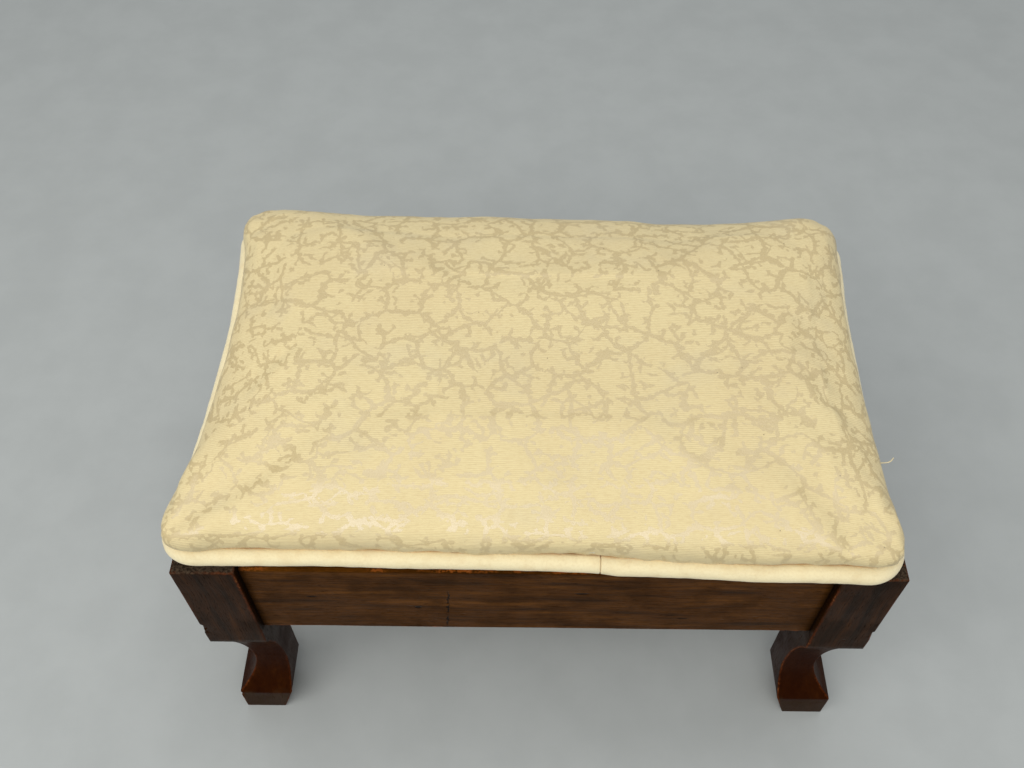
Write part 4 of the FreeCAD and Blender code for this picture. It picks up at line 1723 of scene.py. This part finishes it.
@dataclass
class Welt:
    """The fat welt round the pad's lower edge: a bias strip sewn round a cotton cord, stapled by its flange.

    Its two ends meet in one joint near the middle of the front.
    """

    plan: PadPlan
    radius: float = 6.0
    lift: float = 0.2
    flange_low: float = 0.5
    flange_high: float = 1.5
    flange_inner: float = FLANGE_INNER
    cord_radius: float = 4.5
    joint_x: float = 41.5
    joint_gap: float = 0.10
    round_steps: int = 26
    wobble: float = 0.45
    lumps: float = 0.16
    sunk_at_joint: float = 0.9
    lay: float = 34.0
    strand_groove: float = 0.55
    cord_steps: int = 24
    thread: tuple = ((217.0, -57.0, 5.0), (219.5, -58.5, 7.5), (222.6, -58.0, 8.6), (223.4, -57.0, 11.2))

    def path(self, inset: float) -> np.ndarray:
        """Returns the points round the plan at an inset, from one side of the joint round to the other.

        Args:
            inset: How far inside the outline they lie.

        Returns:
            One row of x and y for each point.
        """
        flat = self.plan.line(inset, None, 16, 150, 90)
        middle = self.plan.line(self.radius, None, 16, 150, 90)
        beside = np.flatnonzero((middle[:, 1] < 0) & (np.abs(middle[:, 0] - self.joint_x) < 1.5))
        flat = np.roll(flat, -(beside[-1] + 1), axis=0)[: len(flat) - len(beside)]
        first, last = flat[0], flat[-1]
        near = np.array((self.joint_gap * 0.6, self.joint_gap, 0.5, 1.2))
        way = (first - last) / (first[0] - last[0])
        after, before = (last + np.outer(self.joint_x + d - last[0], way) for d in (near, -near))
        return np.vstack((after, flat, before[::-1]))

    def lengths(self, flat: np.ndarray) -> tuple:
        """Returns how far along a path each point lies, and how long it is all the way round."""
        step = np.linalg.norm(np.roll(flat, -1, axis=0) - flat, axis=1)
        return np.concatenate(([0.0], np.cumsum(step)[:-1])), step.sum()

    def outwards(self, flat: np.ndarray) -> np.ndarray:
        """Returns the direction out of the plan at each point of a path."""
        along = np.roll(flat, -1, axis=0) - np.roll(flat, 1, axis=0)
        out = np.column_stack((along[:, 1], -along[:, 0]))
        return out / np.linalg.norm(out, axis=1)[:, None]

    def strip(self) -> Piece:
        """Returns the strip: round the cord, and flat where it is stapled under the board."""
        middle = self.lift + self.radius
        first = -math.asin((middle - self.flange_high) / self.radius)
        last = 2 * math.pi - math.asin((middle - self.flange_low) / self.radius)
        centre = self.path(self.radius)
        out = self.outwards(centre)
        length, _ = self.lengths(centre)
        gap = np.minimum(length, length[-1] - length)
        sunk = 1.0 - ease_in(gap, self.joint_gap * 0.5, 0.5)
        full = at_height(centre, 0.0)
        wobble = wander(full, 60.0, 11.0) * self.wobble
        fatter = wander(full, 26.0, 12.0) * self.lumps
        rings, cloth, under, seam, joint = [], [], [], [], []
        for i in range(self.round_steps):
            angle = first + (last - first) * i / (self.round_steps - 1)
            flat = self.path(self.radius + self.radius * math.cos(angle))
            round_here = at_height(centre, 2 * self.radius * angle)
            lumps = wander(round_here, 8.0, 13.0) * 0.14 + wander(round_here, 3.6, 14.0) * 0.05
            grow = fatter + lumps - 0.12 - sunk * self.sunk_at_joint
            flat = flat + out * (wobble - math.cos(angle) * grow)[:, None]
            height = middle + math.sin(angle) * (self.radius + grow)
            rings.append(np.column_stack((flat, np.maximum(height, 0.05))))
            cloth.append(np.column_stack((length, np.full_like(length, self.radius * angle), 0 * length)))
            turned = math.degrees(angle)
            # How far the cloth faces down; its finish is darker there.
            under.append(np.full(len(flat), max(0.0, -math.sin(angle))))
            ragged = wander(full, 7.0, 15.0) * 2.0
            # Where the welt is painted with the warm shade of the crease under the cover.
            seam.append(ease_in(turned - ragged, 76.0, 62.0) * (turned > -30))
            joint.append(sunk)
        tail = [(12.0, self.flange_low), (20.0, self.flange_low), (self.flange_inner, self.flange_low)]
        tail += [(inset, self.flange_high) for inset, _ in reversed(tail)]
        for inset, height in tail:
            flat = self.path(inset)
            rings.append(at_height(flat, height))
            cloth.append(np.column_stack((length, np.full_like(length, inset), 0 * length)))
            under.append(np.ones(len(flat)) * 0.6)
            seam.append(np.zeros(len(flat)))
            joint.append(sunk)
        strip = ringed("cream_welt", [self.plan.laid(ring) for ring in rings], True, False)
        note_place(strip, "cloth", np.vstack(cloth) * MM)
        note_number(strip, "under", np.concatenate(under))
        note_number(strip, "seam", np.concatenate(seam))
        # The joint number places that painted shadow line on the welt.
        note_number(strip, "joint", np.concatenate(joint))
        return strip

    def loose_thread(self) -> Piece:
        """Returns the short thread end that sticks out of the welt on the right."""
        curve = bpy.data.curves.new("thread_end", "CURVE")
        curve.dimensions = "3D"
        curve.bevel_depth = 0.32 * MM
        curve.bevel_resolution = 2
        curve.resolution_u = 6
        curve.use_fill_caps = True
        spline = curve.splines.new("NURBS")
        spline.points.add(len(self.thread) - 1)
        for point, place in zip(spline.points, self.plan.laid(np.array(self.thread))):
            point.co = (*place, 1.0)
        spline.order_u = 3
        spline.use_endpoint_u = True
        thread = bpy.data.objects.new("thread_end", curve)
        bpy.context.scene.collection.objects.link(thread)
        work_on(thread)
        bpy.ops.object.convert(target="MESH")
        return bpy.context.object

    def cord(self) -> Piece:
        """Returns the three-strand cotton cord inside the strip."""
        middle = self.lift + self.radius
        centre = self.path(self.radius)
        length, total = self.lengths(centre)
        turns = round(total / self.lay)
        twist = 2 * math.pi * turns * length / total
        out = self.outwards(centre)
        rings = []
        for angle in np.arange(self.cord_steps) * 2 * math.pi / self.cord_steps:
            radius = self.cord_radius - self.strand_groove * np.abs(np.cos(1.5 * (angle - twist)))
            flat = centre - out * (radius * math.cos(angle))[:, None]
            rings.append(self.plan.laid(np.column_stack((flat, middle + radius * math.sin(angle)))))
        return ringed("cotton_cord", rings, True, False)

    def build(self) -> None:
        """Builds and dresses the strip, its loose thread end and the cord inside."""
        strip = self.strip()
        thread = self.loose_thread()
        work_on(strip)
        thread.select_set(True)
        bpy.ops.object.join()
        smooth(strip, 40.0)
        dress(strip, PlainCloth().make(), "pad")
        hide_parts("welt_cover")
        cord = self.cord()
        smooth(cord, 60.0)
        cotton = Filling("twisted_cotton", paint(236, 228, 206), paint(196, 182, 150), 0.5, 0.15)
        dress(cord, cotton.make(), "pad")
        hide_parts("welt_cord")


@dataclass
class DustCover:
    """The black cloth stapled under the pad. It steps over the welt's flange and lies against the board."""

    plan: PadPlan
    thickness: float = 0.45
    edge_inset: float = 20.9
    step_inset: float = 28.6
    low: float = 0.25
    high: float = 2.25
    batten_middle: float = 98.0
    on_flange: tuple = (22.6, 24.4, 26.4, 28.2)
    on_board: tuple = (31.0, *(34.0 + 4.4 * i for i in range(25)))

    def build(self) -> None:
        """Builds and dresses the cloth."""
        rows = [(inset, self.low) for inset in (self.edge_inset, *self.on_flange)]
        rows += [(inset, self.high) for inset in (self.step_inset + 0.5, *self.on_board)]
        rings = []
        for inset, height in rows:
            room = self.plan.depth / 2 - inset
            flat = self.plan.line(inset, min(self.plan.corner_radius(inset), 0.8 * room), 6, 90, 50)
            full = at_height(flat, height)
            if height == self.high:
                clear = ease_in(np.abs(np.abs(flat[:, 1]) - self.batten_middle), 14.0, 24.0)
                slack = 0.45 + wander(full, 38.0, 21.0) * 0.35 + wander(full, 13.0, 22.0) * 0.15
                full[:, 2] -= np.maximum(slack, 0.0) * clear * ease_in(inset, 29.0, 38.0)
            rings.append(self.plan.laid(full))
        cloth = ringed("black_dust_cover", rings, False, False)
        self.close_middle(cloth, len(rings), len(rings[0]))
        change(cloth, "SOLIDIFY", thickness=self.thickness * MM, offset=0.0)
        smooth(cloth, 40.0)
        dress(cloth, Bottoming().make(), "pad")
        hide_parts("dust_cover")

    def close_middle(self, cloth: Piece, rows: int, count: int) -> None:
        """Closes the narrow gap left in the middle of the cloth.

        Args:
            cloth: The cloth.
            rows: How many rings it has.
            count: How many points are in each.
        """
        last = (rows - 1) * count
        with editing(cloth):
            pick_edges(cloth, lambda edge: edge.is_boundary and min(p.index for p in edge.verts) >= last)
            bpy.ops.mesh.fill()
            bpy.ops.mesh.select_all(action="SELECT")
            bpy.ops.mesh.normals_make_consistent(inside=False)


@dataclass
class Pad:
    """The loose pad: cushion, filling, welt, dust cover, board and battens."""

    plan: PadPlan = field(default_factory=PadPlan)
    board_bottom: float = 221.5

    def build(self) -> None:
        """Builds and dresses the whole pad."""
        form = PadForm(self.plan)
        Welt(self.plan).build()
        Cushion(form).build()
        Stuffing(form).build()
        DustCover(self.plan).build()
        refinish("seat_board", LayeredBoard("birch_plywood", self.board_bottom).make())
        pine = PlainPine("pine_batten", Along.WIDTH, paint(206, 170, 118), paint(168, 120, 70)).make()
        refinish("batten_front", pine)
        refinish("batten_back", pine)
        refinish("batten_screws", Steel("batten_screw_steel", rust=0.2).make())
        wire = Steel("staple_wire", paint(168, 166, 160), rust=0.25).make()
        refinish("welt_staples", wire)
        refinish("dust_cover_staples", wire)


# ---------------------------------------------------------------------------------------------------------
# The studio
# ---------------------------------------------------------------------------------------------------------


@dataclass(frozen=True)
class Lamp:
    """A large soft lamp, aimed at the footstool."""

    name: str
    place: tuple
    wide: float
    high: float
    power: float
    colour: tuple = (1.0, 1.0, 1.0)
    aim: tuple = (0.0, 0.0, 0.18)

    def hang(self) -> None:
        """Hangs the lamp."""
        lamp = bpy.data.lights.new(self.name, "AREA")
        lamp.shape = "RECTANGLE"
        lamp.size = self.wide
        lamp.size_y = self.high
        lamp.energy = self.power
        lamp.color = self.colour
        holder = bpy.data.objects.new(self.name, lamp)
        bpy.context.scene.collection.objects.link(holder)
        holder.location = self.place
        holder.rotation_euler = (Vector(self.aim) - Vector(self.place)).to_track_quat("-Z", "Y").to_euler()


@dataclass(frozen=True)
class Camera:
    """The camera: in front of the footstool and above it, looking down."""

    place: tuple = (-0.00615, -0.40663, 0.75709)
    pitch: float = 52.803
    yaw: float = -1.162
    roll: float = -0.46
    lens: float = 35.602

    def set_up(self) -> None:
        """Sets up the camera and makes it the scene's own."""
        pitch, yaw, roll = (math.radians(angle) for angle in (self.pitch, self.yaw, self.roll))
        ahead = Vector((math.sin(yaw) * math.cos(pitch), math.cos(yaw) * math.cos(pitch), -math.sin(pitch)))
        level = Vector((math.cos(yaw), -math.sin(yaw), 0.0))
        above = level.cross(ahead)
        right = level * math.cos(roll) + above * math.sin(roll)
        up = -level * math.sin(roll) + above * math.cos(roll)
        camera = bpy.data.cameras.new("camera")
        camera.lens = self.lens
        camera.sensor_width = 36.0
        camera.sensor_fit = "HORIZONTAL"
        holder = bpy.data.objects.new("camera", camera)
        bpy.context.scene.collection.objects.link(holder)
        turned = Matrix((right, up, -ahead)).transposed().to_4x4()
        holder.matrix_world = Matrix.Translation(self.place) @ turned
        bpy.context.scene.camera = holder


@dataclass
class Studio:
    """A plain pale floor, soft lamps and the camera."""

    floor_colour: tuple = paint(176, 179, 177)
    lamps: tuple = (
        Lamp("key_lamp", (-0.45, -1.12, 1.72), 2.6, 1.1, 30.0, (1.0, 0.985, 0.955)),
        Lamp("top_lamp", (0.15, 0.25, 2.1), 1.3, 1.0, 9.0, (0.96, 0.98, 1.0)),
    )

    def floor(self) -> None:
        """Lays the floor."""
        nothing_picked()
        bpy.ops.mesh.primitive_plane_add(size=8.0, location=(0.0, 0.0, 0.0))
        floor = bpy.context.object
        floor.name = "floor"
        swatch = Swatch("pale_floor")
        place = swatch.place()
        mottle = swatch.clouds(place, 60.0, 4.0, 0.6)
        darker = tuple(part * 0.94 for part in self.floor_colour[:3]) + (1.0,)
        colour = swatch.blend(swatch.fade(mottle, 0.3, 0.7), self.floor_colour, darker)
        relief = swatch.relief(swatch.clouds(place, 1.8, 3.0, 0.6), 0.05)
        floor.data.materials.append(swatch.finished(colour, 0.62, relief, Specular_IOR_Level=0.3))

    def surroundings(self) -> None:
        """Gives the room its even soft light, and a pale distance behind the floor."""
        world = bpy.data.worlds.new("studio")
        bpy.context.scene.world = world
        world.use_nodes = True
        nodes = world.node_tree.nodes
        links = world.node_tree.links
        nodes.clear()
        path = nodes.new("ShaderNodeLightPath")
        light = nodes.new("ShaderNodeBackground")
        light.inputs["Color"].default_value = (0.93, 0.97, 1.0, 1.0)
        light.inputs["Strength"].default_value = 0.42
        seen = nodes.new("ShaderNodeBackground")
        seen.inputs["Color"].default_value = paint(184, 187, 186)
        seen.inputs["Strength"].default_value = 1.0
        choice = nodes.new("ShaderNodeMixShader")
        output = nodes.new("ShaderNodeOutputWorld")
        links.new(path.outputs["Is Camera Ray"], choice.inputs[0])
        links.new(light.outputs[0], choice.inputs[1])
        links.new(seen.outputs[0], choice.inputs[2])
        links.new(choice.outputs[0], output.inputs["Surface"])

    def set_up(self) -> None:
        """Sets up the whole studio."""
        Camera().set_up()
        self.floor()
        self.surroundings()
        for lamp in self.lamps:
            lamp.hang()
        bpy.context.scene.view_settings.view_transform = "Standard"


def main() -> None:
    """Builds the studio, the stand and the pad in order."""
    logging.basicConfig(level=logging.INFO, format="%(message)s")
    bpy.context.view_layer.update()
    Studio().set_up()
    Stand().build()
    Pad().build()


if __name__ == "__main__":
    main()
